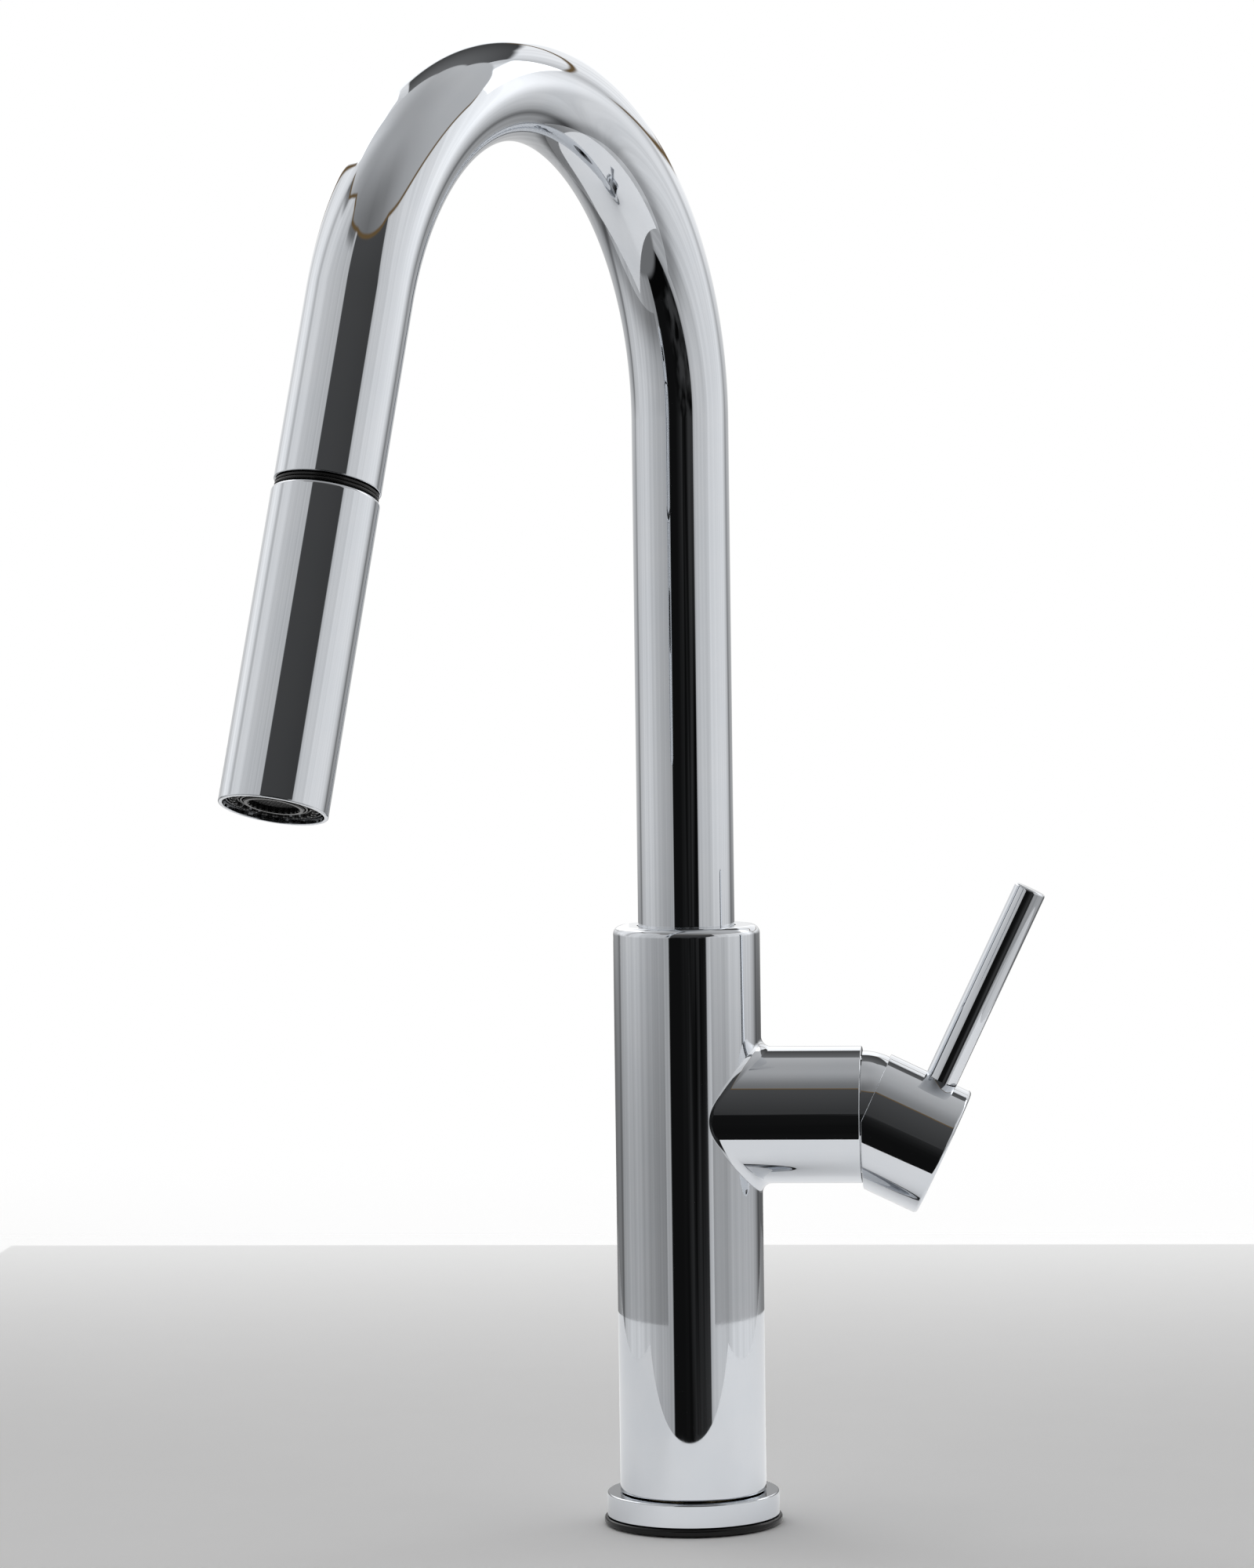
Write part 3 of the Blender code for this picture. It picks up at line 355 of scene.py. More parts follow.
def makeRippleGroup():
    """The slow unevenness that polishing leaves, and a fine grain, as one bumped normal."""
    group, given, result = newGroup(
        "surfaceRipple",
        [("Vector", "Vector", None), ("Ripple Scale", "Float", 45.0), ("Ripple Height", "Float", 0.00001),
         ("Grain Scale", "Float", 900.0), ("Grain Height", "Float", 0.0)],
        [("Normal", "Vector")],
    )
    vector, slowScale, slowHeight, fineScale, fineHeight = given.outputs[:5]
    slow = times(group, addNoise(group, vector, slowScale, 1.0, 0.4), slowHeight)
    fine = times(group, addNoise(group, vector, fineScale), fineHeight)
    group.links.new(addBump(group, addMath(group, "ADD", slow, fine), Strength=1.0), result.inputs[0])
    return group


def makeToneGroup():
    """A colour that drifts between two tones with a slow noise."""
    grey = (0.5, 0.5, 0.5, 1)
    group, given, result = newGroup(
        "toneDrift",
        [("Vector", "Vector", None), ("Scale", "Float", 60.0), ("First", "Color", grey), ("Second", "Color", grey)],
        [("Color", "Color")],
    )
    vector, scale, first, second = given.outputs[:4]
    share = softRange(group, addNoise(group, vector, scale, 4.0, 0.6), 0.3, 0.7)
    group.links.new(blendColours(group, share, first, second), result.inputs[0])
    return group


def makeLatheGroup():
    """Fine rings that a lathe leaves across a frame's Z, as a height."""
    group, given, result = newGroup(
        "latheLines", [("Vector", "Vector", None), ("Pitch", "Float", 0.0002), ("Depth", "Float", 0.000002)],
        [("Height", "Float")],
    )
    vector, pitch, depth = given.outputs[:3]
    turns = addMath(group, "DIVIDE", addSplit(group, vector)[2], pitch)
    phase = times(group, addMath(group, "ADD", turns, addNoise(group, vector, 300.0)), 2 * pi)
    group.links.new(times(group, addMath(group, "SINE", phase), depth), result.inputs[0])
    return group


handlingMarks = makeHandlingGroup()
surfaceRipple = makeRippleGroup()
toneDrift = makeToneGroup()
latheLines = makeLatheGroup()


def placeGroup(tree, group, vector, *values):
    """The group's only output, with its inputs given in their order."""
    return addNode(tree, "Group", dict(enumerate((vector, *values))), node_tree=group).outputs[0]


def newMaterial(name):
    material = bpy.data.materials.new(name)
    material.use_nodes = True
    return material, material.node_tree, material.node_tree.nodes["Principled BSDF"]


def makeFinish(name, tones, metallic, roughness, ripple, toneScale=60.0, lathe=None, turned=None, shine=None):
    """A finish: two tones of colour, a low and a high roughness, and (ripple scale, height, grain scale, height)."""
    material, tree, shader = newMaterial(name)
    vector = addNode(tree, "TexCoord").outputs["Object"]
    if turned is not None:
        vector = addNode(tree, "Mapping", {"Vector": vector, "Rotation": turned}).outputs["Vector"]
    colour = placeGroup(tree, toneDrift, vector, toneScale, (*tones[0], 1.0), (*tones[1], 1.0))
    normal = placeGroup(tree, surfaceRipple, vector, *ripple)
    if lathe is not None:
        normal = addBump(tree, placeGroup(tree, latheLines, vector, *lathe), Normal=normal)
    tree.links.new(colour, shader.inputs["Base Color"])
    tree.links.new(placeGroup(tree, handlingMarks, vector, 40.0, *roughness), shader.inputs["Roughness"])
    tree.links.new(normal, shader.inputs["Normal"])
    shader.inputs["Metallic"].default_value = metallic
    if shine is not None:
        shader.inputs["Specular IOR Level"].default_value = shine
    return material


wandTurn, armTurn = (Matrix(axes.tolist()).to_euler() for _, axes in (wandFrame, armFrame))

chrome = makeFinish(
    "polishedChrome", ((0.66, 0.68, 0.71), (0.64, 0.665, 0.70)), 1.0, (0.018, 0.045), (38.0, 0.0000045, 900.0, 0.0)
)
blackRubber = makeFinish(
    "blackRubber", ((0.003, 0.003, 0.003), (0.006, 0.006, 0.006)), 0.0, (0.14, 0.24),
    (60.0, 0.00001, 2500.0, 0.0000006), shine=0.22,
)
blackPlastic = makeFinish(
    "blackPlastic", ((0.004, 0.004, 0.004), (0.008, 0.008, 0.008)), 0.0, (0.18, 0.3),
    (80.0, 0.000006, 3500.0, 0.0000006), shine=0.3,
)
greyPlastic = makeFinish(
    "greyPlastic", ((0.28, 0.29, 0.31), (0.34, 0.35, 0.37)), 0.0, (0.35, 0.5), (90.0, 0.00001, 3000.0, 0.000004)
)
whitePlastic = makeFinish(
    "whitePlastic", ((0.76, 0.76, 0.74), (0.82, 0.82, 0.80)), 0.0, (0.32, 0.45), (90.0, 0.00001, 3000.0, 0.000004)
)
whiteCeramic = makeFinish(
    "whiteCeramic", ((0.84, 0.82, 0.78), (0.88, 0.86, 0.82)), 0.0, (0.12, 0.2), (120.0, 0.000002, 4000.0, 0.000001)
)
# the aerator screen's steel is painted near black: painted shade of the recess it sits in
meshPaintedShade = makeFinish(
    "meshPaintedShade", ((0.05, 0.05, 0.05), (0.09, 0.09, 0.09)), 1.0, (0.3, 0.5), (150.0, 0.000004, 1800.0, 0.000002)
)
brass, brassWand, brassArm = (
    makeFinish(
        name, ((0.72, 0.53, 0.24), (0.80, 0.62, 0.32)), 1.0, (0.2, 0.36), (70.0, 0.000006, 2000.0, 0.000002),
        lathe=(0.00025, 0.000004), turned=turned,
    )
    for name, turned in (
        ("machinedBrass", None), ("machinedBrassAlongWand", wandTurn), ("machinedBrassAlongArm", armTurn),
    )
)
steel = makeFinish(
    "zincSteel", ((0.58, 0.59, 0.60), (0.68, 0.69, 0.70)), 1.0, (0.22, 0.4), (150.0, 0.000008, 1800.0, 0.000003),
    toneScale=220.0, lathe=(0.0004, 0.000002),
)
copper = makeFinish(
    "drawnCopper", ((0.78, 0.42, 0.27), (0.66, 0.33, 0.20)), 1.0, (0.16, 0.34), (60.0, 0.00001, 1500.0, 0.000002)
)

print("finishes ready")

# ---- gooseneck spout

spout = dict(
    radius=0.0140, wall=0.0020, straightTop=0.3203, bendRadius=0.08814, bendAngle=161.26, leg=0.05305,
    heading=245.7, endGap=0.00115, edge=0.0003, bendRows=200, around=192,
)
heading = np.array([cos(radians(spout["heading"])), sin(radians(spout["heading"])), 0.0])


def spoutPath(rows, legEnd):
    """Straight up, round an arc in the upright plane of the heading, then straight down the leg.
    Beside is square to that plane, and across is the side of the tube that faces into the bend."""
    turned, bend, up = radians(spout["bendAngle"]), spout["bendRadius"], np.array([0.0, 0.0, 1.0])
    angle = np.concatenate([[0.0], np.linspace(0, turned, rows + 1), [turned]])
    c, s = np.cos(angle)[:, None], np.sin(angle)[:, None]
    centres = bend * (1 - c) * heading + (spout["straightTop"] + bend * s) * up
    along = s * heading + c * up
    centres[0] = [0, 0, nodeLow("spout_tube", 2)]
    centres[-1] = centres[-2] + along[-1] * legEnd
    across = c * heading - s * up
    return centres, across, np.broadcast_to(np.cross(up, heading), across.shape), along


def makeSpout():
    outer, inner, edge = spout["radius"], spout["radius"] - spout["wall"], spout["edge"]
    centres, across, beside, along = spoutPath(spout["bendRows"], spout["leg"] - spout["endGap"] - edge)
    grid, normals = sweptPatches(centres, across, beside, inner, spout["around"])
    patches = [sweptPatches(centres, across, beside, outer, spout["around"]), (grid, -normals)]
    ring = [(inner, 0.0, 0.0), (inner, edge, edge / 2), (outer, edge, edge * 0.99), (outer, 0.0, 0.0)]
    runs = roundedOutline(ring)[:-1]
    for end, forward in ((-1, 1.0), (0, -1.0)):
        frameHere = (centres[end], np.array([across[end], beside[end], along[end] * forward]))
        patches += placed(turnedPatches(runs, spout["around"]), frameHere)
    makePiece("spoutTube", patches, chrome, "spout", "spout_tube")


makeSpout()
print("spout ready")

# ---- body with its side arm

bodyValues = dict(
    radius=0.0213, bore=0.0183, edge=0.0025, footEdge=0.0004, roof=0.0065, neckGap=0.0004,
    armRadius=0.0198, fillet=0.0030, armEdge=0.00035, mouth=0.0175, armBore=0.0146, armNeck=0.0121,
    mouthDepth=0.0056, shoulderDepth=0.0312, around=288, rise=72, rows=26,
)


def armRun(stations, direction):
    """Rows of (x, radius, normal x, normal out) carried round the arm."""
    x, r, normalX, outward = (np.array(column)[:, None] for column in zip(*stations))
    c, s = np.cos(direction), np.sin(direction)
    return stackGrid(x, r * c, handlePoint[2] + r * s), stackGrid(normalX, outward * c, outward * s)


def makeBody():
    v = bodyValues
    low, high, end, centre = nodeLow("body_shell", 2), nodeHigh("body_shell", 2), handlePoint[0], handlePoint[2]
    body, arm, ball, bore = v["radius"], v["armRadius"], v["fillet"], v["bore"]
    outline = crossedHole(body, arm, ball)
    bandLow, bandHigh = low + v["footEdge"], high - v["edge"]
    band, direction, (borderAngle, borderHeight) = holedBand(
        body, bandLow, bandHigh, centre, outline, v["around"], v["rise"], v["rows"]
    )
    patches = [band]
    # the corner between body and arm
    holeAngle, holeHeight = outline(direction)
    ballCentre = polar(body + ball, holeAngle, centre + holeHeight)
    bodyNormal, armNormal = polar(1.0, holeAngle, 0.0), stackGrid(0.0, np.cos(direction), np.sin(direction))
    between = np.arccos(np.clip(np.einsum("ij,ij->i", bodyNormal, armNormal), -1, 1))[:, None]
    share = np.linspace(0, 1, 11)[:, None, None]
    corner = (np.sin((1 - share) * between) * bodyNormal + np.sin(share * between) * armNormal) / np.sin(between)
    patches.append((ballCentre - ball * corner, corner))
    # the arm outside, its end, and the stepped hollow inside it
    edge = v["armEdge"]
    lines = np.linspace(0, 1, 5)[:, None]
    x = ballCentre[:, 0] * (1 - lines) + (end - edge) * lines
    c, s = np.cos(direction), np.sin(direction)
    patches.append((stackGrid(x, arm * c, centre + arm * s), stackGrid(0 * x, c, s)))
    lip = arm - edge
    turn = np.linspace(0, pi / 2, 5)
    patches.append(armRun([(end - edge + edge * sin(t), lip + edge * cos(t), sin(t), cos(t)) for t in turn], direction))
    mouth, hollow, neck = v["mouth"], v["armBore"], v["armNeck"]
    mouthEnd, shoulder = end - v["mouthDepth"], end - v["shoulderDepth"]
    for x, outer, inner, deep in ((end, lip, mouth, mouthEnd), (mouthEnd, mouth, hollow, shoulder)):
        patches.append(armRun([(x, outer, 1, 0), (x, inner, 1, 0)], direction))
        patches.append(armRun([(x, inner, 0, -1), (deep, inner, 0, -1)], direction))
    patches.append(armRun([(shoulder, hollow, 1, 0), (shoulder, neck, 1, 0)], direction))
    innerAngle, innerHeight = crossedHole(bore, neck)(direction)
    x = np.stack([shoulder + 0 * direction, bore * np.cos(innerAngle)])
    patches.append((stackGrid(x, neck * c, centre + neck * s), -stackGrid(0 * x, c, s)))
    # the bore, whose grid follows the same directions as the outside
    roof, rise = high - v["roof"], borderHeight - centre
    stretched = np.where(rise > 0, centre + rise * (roof - centre) / (bandHigh - centre),
                         centre + rise * (centre - low) / (centre - bandLow))
    patches.append(spreadBand(bore, (innerAngle, centre + innerHeight), (borderAngle, stretched), 7, -1))
    hole = spout["radius"] + v["neckGap"]
    top = [(bore, roof, 0), (hole, roof, 0), (hole, high, 0.0002), (body, high, v["edge"]), (body, roof, 0)]
    foot = [(body, centre, 0), (body, low, v["footEdge"]), (bore, low, 0), (bore, centre, 0)]
    patches += turnedPatches(roundedOutline(top)[:-2] + roundedOutline(foot)[1:3], v["around"])
    makePiece("bodyShell", patches, chrome, "body", "body_shell")


makeBody()
print("body ready")

# ---- base ring and gasket

shankValues = dict(
    radius=0.0166, bore=0.0148, pitch=0.0015, depth=0.0007, chamfer=0.0008, threadTop=-0.0005, stepGap=0.0006,
    around=96, perTurn=10,
)
baseValues = dict(ringEdge=0.0005, ringFootEdge=0.0002, gasketEdge=0.0007, boreGap=0.0003)
clampBore = shankValues["radius"] + baseValues["boreGap"]


def makeBase():
    edge, footEdge, soft = baseValues["ringEdge"], baseValues["ringFootEdge"], baseValues["gasketEdge"]
    for node, name, material, slot, low, lowEdge, highEdge in (
        ("base_ring", "baseRing", chrome, "polished_chrome", nodeLow("base_ring", 2), footEdge, edge),
        ("deck_gasket", "deckGasket", blackRubber, "black_rubber", 0.0, soft, soft),
    ):
        high, wide = nodeHigh(node, 2), nodeHigh(node, 0)
        corners = [(clampBore, high, 0), (clampBore, low, 0), (wide, low, lowEdge), (wide, high, highEdge)]
        turnedPiece(name, corners, material, "body", upright, node, 256)


# ---- shank, clamp and the tubes below the deck

nutValues = dict(flats=0.0502, chamfer=0.0009, bore=0.0169, holeRadius=0.0025, around=180)
washerEdge = 0.0004
screwValues = dict(
    radius=0.0022, headRadius=0.0038, headEdge=0.0012, chamfer=0.0004, tipEdge=0.0005, pitch=0.0008, depth=0.0003,
    head=0.0030, slot=0.0008, slotDepth=0.0012,
)


def threadGrid(radius, low, high, pitch, depth, around, perTurn):
    """A thread: the radius dips by a rounded vee whose phase climbs one pitch each turn, and runs out at both ends."""
    angle = np.linspace(-pi, pi, around + 1)[None, :]
    rows = int(round((high - low) / pitch * perTurn))
    z = np.linspace(high, low, rows + 1)[:, None]
    phase = z / pitch - angle / (2 * pi)
    vee = np.abs(2 * (phase - np.floor(phase)) - 1)
    vee = np.clip(vee * 1.35 - 0.15, 0, 1)
    runOut = np.clip(np.minimum(z - low, high - z) / pitch, 0, 1)
    return polar(radius - depth * vee * runOut, angle, z), None


def plainRun(profile, around):
    """Straight steps of (radius, height), turned, for a mesh whose normals come from its faces."""
    r, z = (np.array(column)[:, None] for column in zip(*profile))
    return polar(r, np.linspace(-pi, pi, around + 1), z), None


def makeShank():
    v = shankValues
    radius, bore, chamfer, top = v["radius"], v["bore"], v["chamfer"], v["threadTop"]
    low, high, wide = nodeLow("threaded_shank", 2), nodeHigh("threaded_shank", 2), nodeHigh("threaded_shank", 0)
    step = nodeHigh("base_ring", 2) + v["stepGap"]
    thread = threadGrid(radius, low + chamfer, top, v["pitch"], v["depth"], v["around"], v["perTurn"])
    upper = [(bore, low), (bore, high), (wide, high), (wide, step), (radius, step), (radius, top)]
    lower = [(radius, low + chamfer), (radius - chamfer, low), (bore, low)]
    patches = [plainRun(upper, v["around"]), thread, plainRun(lower, v["around"])]
    makePiece("threadedShank", patches, brass, "body", "threaded_shank", sharp=40)


def cutBy(piece, cutters):
    """Takes the cutters out of a piece and leaves one plain mesh."""
    for cutter in cutters:
        step = piece.modifiers.new("cut", "BOOLEAN")
        step.object = cutter
        step.solver = "EXACT"
    graph = bpy.context.evaluated_depsgraph_get()
    mesh = bpy.data.meshes.new_from_object(piece.evaluated_get(graph))
    piece.modifiers.clear()
    piece.data = mesh
    for cutter in cutters:
        bpy.data.objects.remove(cutter, do_unlink=True)


def makeNut():
    """A hexagon prism whose corners are taken down by a cone at both faces."""
    v = nutValues
    low, high = nodeLow("mounting_nut", 2), nodeHigh("mounting_nut", 2)
    angle = np.linspace(-pi, pi, v["around"] + 1)[None, :]
    sector = np.mod(angle, pi / 3) - pi / 6
    rise = np.array([0.0, 0.25, 0.5, 0.75, 1.0, 1.6, 2.4, 3.4])[:, None] * v["chamfer"]
    cone = v["flats"] / 2 - v["chamfer"] * 0.2 + rise * 1.9
    upper = np.minimum(v["flats"] / 2 / np.cos(sector), cone)
    side = polar(np.concatenate([upper, upper[::-1]]), angle, np.concatenate([high - rise, (low + rise)[::-1]]))
    rim = np.concatenate([np.full_like(angle, v["bore"]), upper[:1]])
    patches = [(side, None), (polar(rim, angle, high), None), (polar(rim[::-1], angle, low), None),
               plainRun([(v["bore"], low), (v["bore"], high)], v["around"])]
    nut = makePiece("mountingNut", patches, brass, "body", "mounting_nut", sharp=25)
    cutters = []
    for i in range(3):
        centre = sum(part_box(f"jack_screw_{i + 1}"), Vector()) / 2
        bpy.ops.mesh.primitive_cylinder_add(
            vertices=32, radius=v["holeRadius"], depth=0.03, location=(centre.x, centre.y, (low + high) / 2)
        )
        cutters.append(bpy.context.object)
    cutBy(nut, cutters)


def makeScrews():
    """A jack screw has a threaded shaft and a slotted pan head that hangs below the nut."""
    v = screwValues
    radius, wide, rounding, chamfer = v["radius"], v["headRadius"], v["headEdge"], v["chamfer"]
    for i in range(3):
        node = f"jack_screw_{i + 1}"
        low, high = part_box(node)
        centre = (low + high) / 2
        headTop, shaftEnd = low.z + v["head"], high.z - chamfer
        where = axisFrame((centre.x, centre.y, 0.0), (0, 0, 1), (1, 0, 0))
        thread = threadGrid(radius, headTop, shaftEnd, v["pitch"], v["depth"], 32, 8)
        tip = plainRun([(0.0, high.z), (radius - v["tipEdge"], high.z), (radius, shaftEnd)], 32)
        turns = [radians(22.5 * k) for k in range(5)]
        pan = [(wide - rounding + rounding * cos(turn), low.z + rounding - rounding * sin(turn)) for turn in turns]
        head = plainRun([(radius, headTop), (wide, headTop), *pan, (0.0, low.z)], 32)
        patches = placed([tip, thread, head], where)
        screw = makePiece(f"jackScrew{i + 1}", patches, steel, "body", node, sharp=35)
        bpy.ops.mesh.primitive_cube_add(size=1.0, location=(centre.x, centre.y, low.z))
        slotBox = bpy.context.object
        slotBox.scale = (0.02, v["slot"], v["slotDepth"] * 2)
        slotBox.rotation_euler = (0, 0, radians(25 + 70 * i))
        cutBy(screw, [slotBox])


def makeWashers():
    for node, name, finish, slot in (
        ("rubber_washer", "rubberWasher", blackRubber, "black_rubber"),
        ("clamp_washer", "clampWasher", steel, "zinc_steel"),
    ):
        low, high, wide = nodeLow(node, 2), nodeHigh(node, 2), nodeHigh(node, 0)
        corners = [(r, z, washerEdge) for r, z in ((clampBore, high), (clampBore, low), (wide, low), (wide, high))]
        turnedPiece(name, corners, finish, "body", upright, node, 160)


makeBase()
makeShank()
makeNut()
makeScrews()
makeWashers()
print("base and clamp ready")

# ---- handle: bonnet, cap and lever

capValues = dict(
    radius=0.0193, rimGap=0.0003, rimEdge=0.00018, hollow=0.0187, endEdge=0.0010, length=0.0260,
    screwBore=0.0023, screwDepth=0.0050, screwFromEnd=0.0045, screwBand=0.0032, around=256, rise=24,
)
bonnetValues = dict(radius=0.0184, wall=0.0015, poleAngle=40.0, skirt=0.0169, skirtWall=0.0014, skirtLow=-0.0050)
leverValues = dict(radius=0.0047, along=0.0164, tip=0.0800, tipEdge=0.0008, footGap=0.00002, around=128)


def makeBonnet():
    v = bonnetValues
    outer, inner, gap, skirt, low = v["radius"], v["radius"] - v["wall"], capValues["rimGap"], v["skirt"], v["skirtLow"]
    poleEnd, skirtIn = radians(90 - v["poleAngle"]), skirt - v["skirtWall"]

    def arcRun(radius, a, b, facing):
        turn = np.linspace(a, b, 25)
        arm = np.stack([np.cos(turn), np.sin(turn)], 1)
        return np.hstack([radius * arm, facing * arm])

    outArc = arcRun(outer, np.arcsin(gap / outer), poleEnd, 1)
    inArc = arcRun(inner, poleEnd, np.arcsin(gap / inner), -1)
    stops = [outArc[-1, :2], inArc[0, :2], None, inArc[-1, :2], (skirtIn, gap), (skirtIn, low), (skirt, low),
             (skirt, gap), outArc[0, :2]]
    facings = [(-sin(poleEnd), cos(poleEnd)), None, None, (0, 1), (-1, 0), (0, -1), (1, 0), (0, -1)]
    straight = [np.array([[*a, *facing], [*b, *facing]]) for a, b, facing in zip(stops, stops[1:], facings) if facing]
    where = axisFrame(handlePoint, (1, 0, 0), (0, 0, -1))
    patches = placed(turnedPatches([outArc, inArc, *straight], 192), where)
    makePiece("bonnetDome", patches, chrome, "body", "bonnet_dome")


def makeCap():
    """A round cap. Its upper rim is square to it, and its lower rim lies along the arm's upright end face."""
    v = capValues
    angle = np.linspace(-pi, pi, v["around"] + 1)
    c, s = np.cos(angle), np.sin(angle)
    gap, slope, radius, edge, hollow = v["rimGap"], tan(handleTilt), v["radius"], v["rimEdge"], v["hollow"]
    axisGap = gap / cos(handleTilt)
    lower = axisGap + radius * c * slope > gap
    rimNormal = np.where(lower[:, None], [sin(handleTilt), 0.0, -cos(handleTilt)], [0.0, 0.0, -1.0])

    def rimHeight(reach):
        return np.where(lower, axisGap + reach * c * slope, gap)

    # a small rounding from the rim's face to the cap's side
    radial = stackGrid(c, s, 0.0)
    rows, normals = [], []
    for turn in np.linspace(0, 1, 4) * pi / 2:
        reach = radius - edge + edge * sin(turn)
        rows.append(stackGrid(reach * c, reach * s, rimHeight(reach) + edge * (1 - cos(turn))))
        mixed = rimNormal * cos(turn) + radial * sin(turn)
        normals.append(mixed / np.linalg.norm(mixed, axis=1, keepdims=True))
    patches = [(np.stack(rows), np.stack(normals))]
    bore, screwZ, depth = v["screwBore"], v["length"] - v["screwFromEnd"], radius - v["screwDepth"]
    bandLow, bandHigh = screwZ - v["screwBand"], v["length"] - v["endEdge"]
    lines = np.linspace(0, 1, 5)[:, None]
    z = rows[-1][:, 2] * (1 - lines) + bandLow * lines
    patches.append((stackGrid(radius * c, radius * s, z), stackGrid(c, s, 0 * z)))
    outline = crossedHole(radius, bore)
    band, direction, _ = holedBand(radius, bandLow, bandHigh, screwZ, outline, v["around"], v["rise"], 14)
    patches.append(band)
    # the blind hole for the set screw
    hc, hs = np.cos(direction), np.sin(direction)
    mouth = np.sqrt(radius**2 - (bore * hc) ** 2)
    x = np.stack([mouth, depth + 0 * mouth])
    patches.append((stackGrid(x, bore * hc, screwZ + bore * hs), -stackGrid(0 * x, hc, hs)))
    r = np.array([[0.0], [bore]])
    floor = stackGrid(depth, r * hc, screwZ + r * hs)
    patches.append((floor, np.broadcast_to([1.0, 0.0, 0.0], floor.shape)))
    corners = [(0, 0, 0), (radius, 0, 0), (radius, v["length"], v["endEdge"]), (0, v["length"], 0)]
    patches += turnedPatches(roundedOutline(corners, steps=8)[2:4], v["around"])
    # the ball-shaped hollow, and the rim's face round its mouth
    a, b = 1 + (c * slope) ** 2, 2 * c * slope * axisGap
    reach = (-b + np.sqrt(b * b - 4 * a * (axisGap**2 - hollow**2))) / (2 * a)
    reach = np.where(lower, reach, sqrt(hollow**2 - gap**2))
    fromPole = np.arctan2(reach, rimHeight(reach))[None, :] * np.linspace(1, 0, 41)[:, None]
    ball = polar(np.sin(fromPole), angle, np.cos(fromPole))
    patches.append((hollow * ball, -ball))
    reach = np.stack([hollow * np.sin(fromPole[0]), radius - edge + 0 * c])
    z = np.stack([hollow * np.cos(fromPole[0]), rows[0][:, 2]])
    patches.append((polar(reach, angle, z), np.stack([rimNormal, rimNormal])))
    makePiece("handleCap", placed(patches, capFrame), chrome, "handle", "handle_cap")


def makeLever():
    """A round rod whose foot is hollowed to sit on the cap's side."""
    v = leverValues
    origin, axes = capFrame
    where = (origin + axes[2] * v["along"], np.array([axes[2], -axes[1], -axes[0]]))
    angle = np.linspace(-pi, pi, v["around"] + 1)
    seat, radius, length = capValues["radius"] + v["footGap"], v["radius"], v["tip"]
    reach = np.linspace(0, radius, 9)[:, None]
    y = reach * np.sin(angle)
    height = np.sqrt(seat**2 - y**2)
    foot = (polar(reach, angle, height), -stackGrid(0 * height, y, height) / seat)
    z = np.stack([height[-1], length - v["tipEdge"] + 0 * angle])
    side = (polar(radius, angle, z), polar(1.0, angle, 0 * z))
    corners = [(0, 0, 0), (radius, 0, 0), (radius, length, v["tipEdge"]), (0, length, 0)]
    tip = turnedPatches(roundedOutline(corners, steps=8)[2:4], v["around"])
    makePiece("leverRod", placed([foot, side, *tip], where), chrome, "handle", "lever_rod")


makeBonnet()
makeCap()
makeLever()
print("handle ready")

# ---- wand: shell, seam rings, button and spray face

wandValues = dict(
    radius=0.01415, bore=0.01305, top=0.00115, topEdge=0.0011, length=0.08515, rimEdge=0.0004, boreEdge=0.0002,
    slotGap=0.0003, around=192, rise=96,
)
buttonValues = dict(
    at=0.0350, length=0.0220, width=0.0090, proud=0.0008, back=0.0096, flangeOut=0.0109, lip=0.0020,
    edge=0.0009, crown=0.0003, ribs=5, ribPitch=0.0021, ribHeight=0.00025, around=160, rows=56,
)
seamValues = dict(
    bandRadius=0.0136, gap=0.00005, half=0.00085, edge=0.0004, nose=0.0081, noseTop=0.0090, guideTop=0.0250,
    guideIn=0.0085, guideOut=0.0117, skirtGap=0.0003, skirtLow=0.0140, nutInside=0.0071, soft=0.0002,
)
faceValues = dict(
    radius=0.01275, top=0.06965, low=0.08375, hole=0.0082, grooveHalf=0.0017, ringHalf=0.0014, grooveDepth=0.0030,
    nozzles=24, tipRadius=0.0009, tipTop=0.0007, tipBore=0.00035, aeratorOut=0.0079, aeratorWall=0.0014,
    aeratorProud=0.0004, aeratorEdge=0.0003, lugs=24, lugDepth=0.0006, soft=0.0002, ringLift=0.0003, tipSink=0.0003,
)
screenValues = dict(radius=0.0062, pitch=0.00062, wire=0.00013, depth=0.0012, endGap=0.0001)


def makeWandShell():
    v, b = wandValues, buttonValues
    radius, bore, top, end, at, soft = v["radius"], v["bore"], v["top"], v["length"], b["at"], v["boreEdge"]
    halfWidth, halfStraight = b["width"] / 2 + v["slotGap"], (b["length"] - b["width"]) / 2
    ends = [top + v["topEdge"], end - v["rimEdge"]]
    outline = slotHole(radius, halfWidth, halfStraight)
    band, direction, border = holedBand(radius, *ends, at, outline, v["around"], v["rise"], 22)
    innerAngle, innerHeight = slotHole(bore, halfWidth, halfStraight)(direction)
    stretched = np.interp(border[1], ends, [top + soft, end - soft])
    patches = [band, spreadBand(bore, (innerAngle, at + innerHeight), (border[0], stretched), 5, -1)]
    outerAngle, outerHeight = outline(direction)
    y = radius * np.sin(outerAngle)
    x = np.stack([radius * np.cos(outerAngle), bore * np.cos(innerAngle)])
    wallNormal = -stackGrid(0.0, y, outerHeight - np.clip(outerHeight, -halfStraight, halfStraight)) / halfWidth
    patches.append((stackGrid(x, y, at + outerHeight), np.stack([wallNormal, wallNormal])))
    corners = [(bore, top, soft), (radius, top, v["topEdge"]), (radius, end, v["rimEdge"]), (bore, end, soft)]
    runs = roundedOutline(corners, steps=8)
    patches += turnedPatches(runs[:3] + runs[4:7], v["around"])
    makePiece("wandShell", placed(patches, wandFrame), chrome, "wand", "wand_shell")


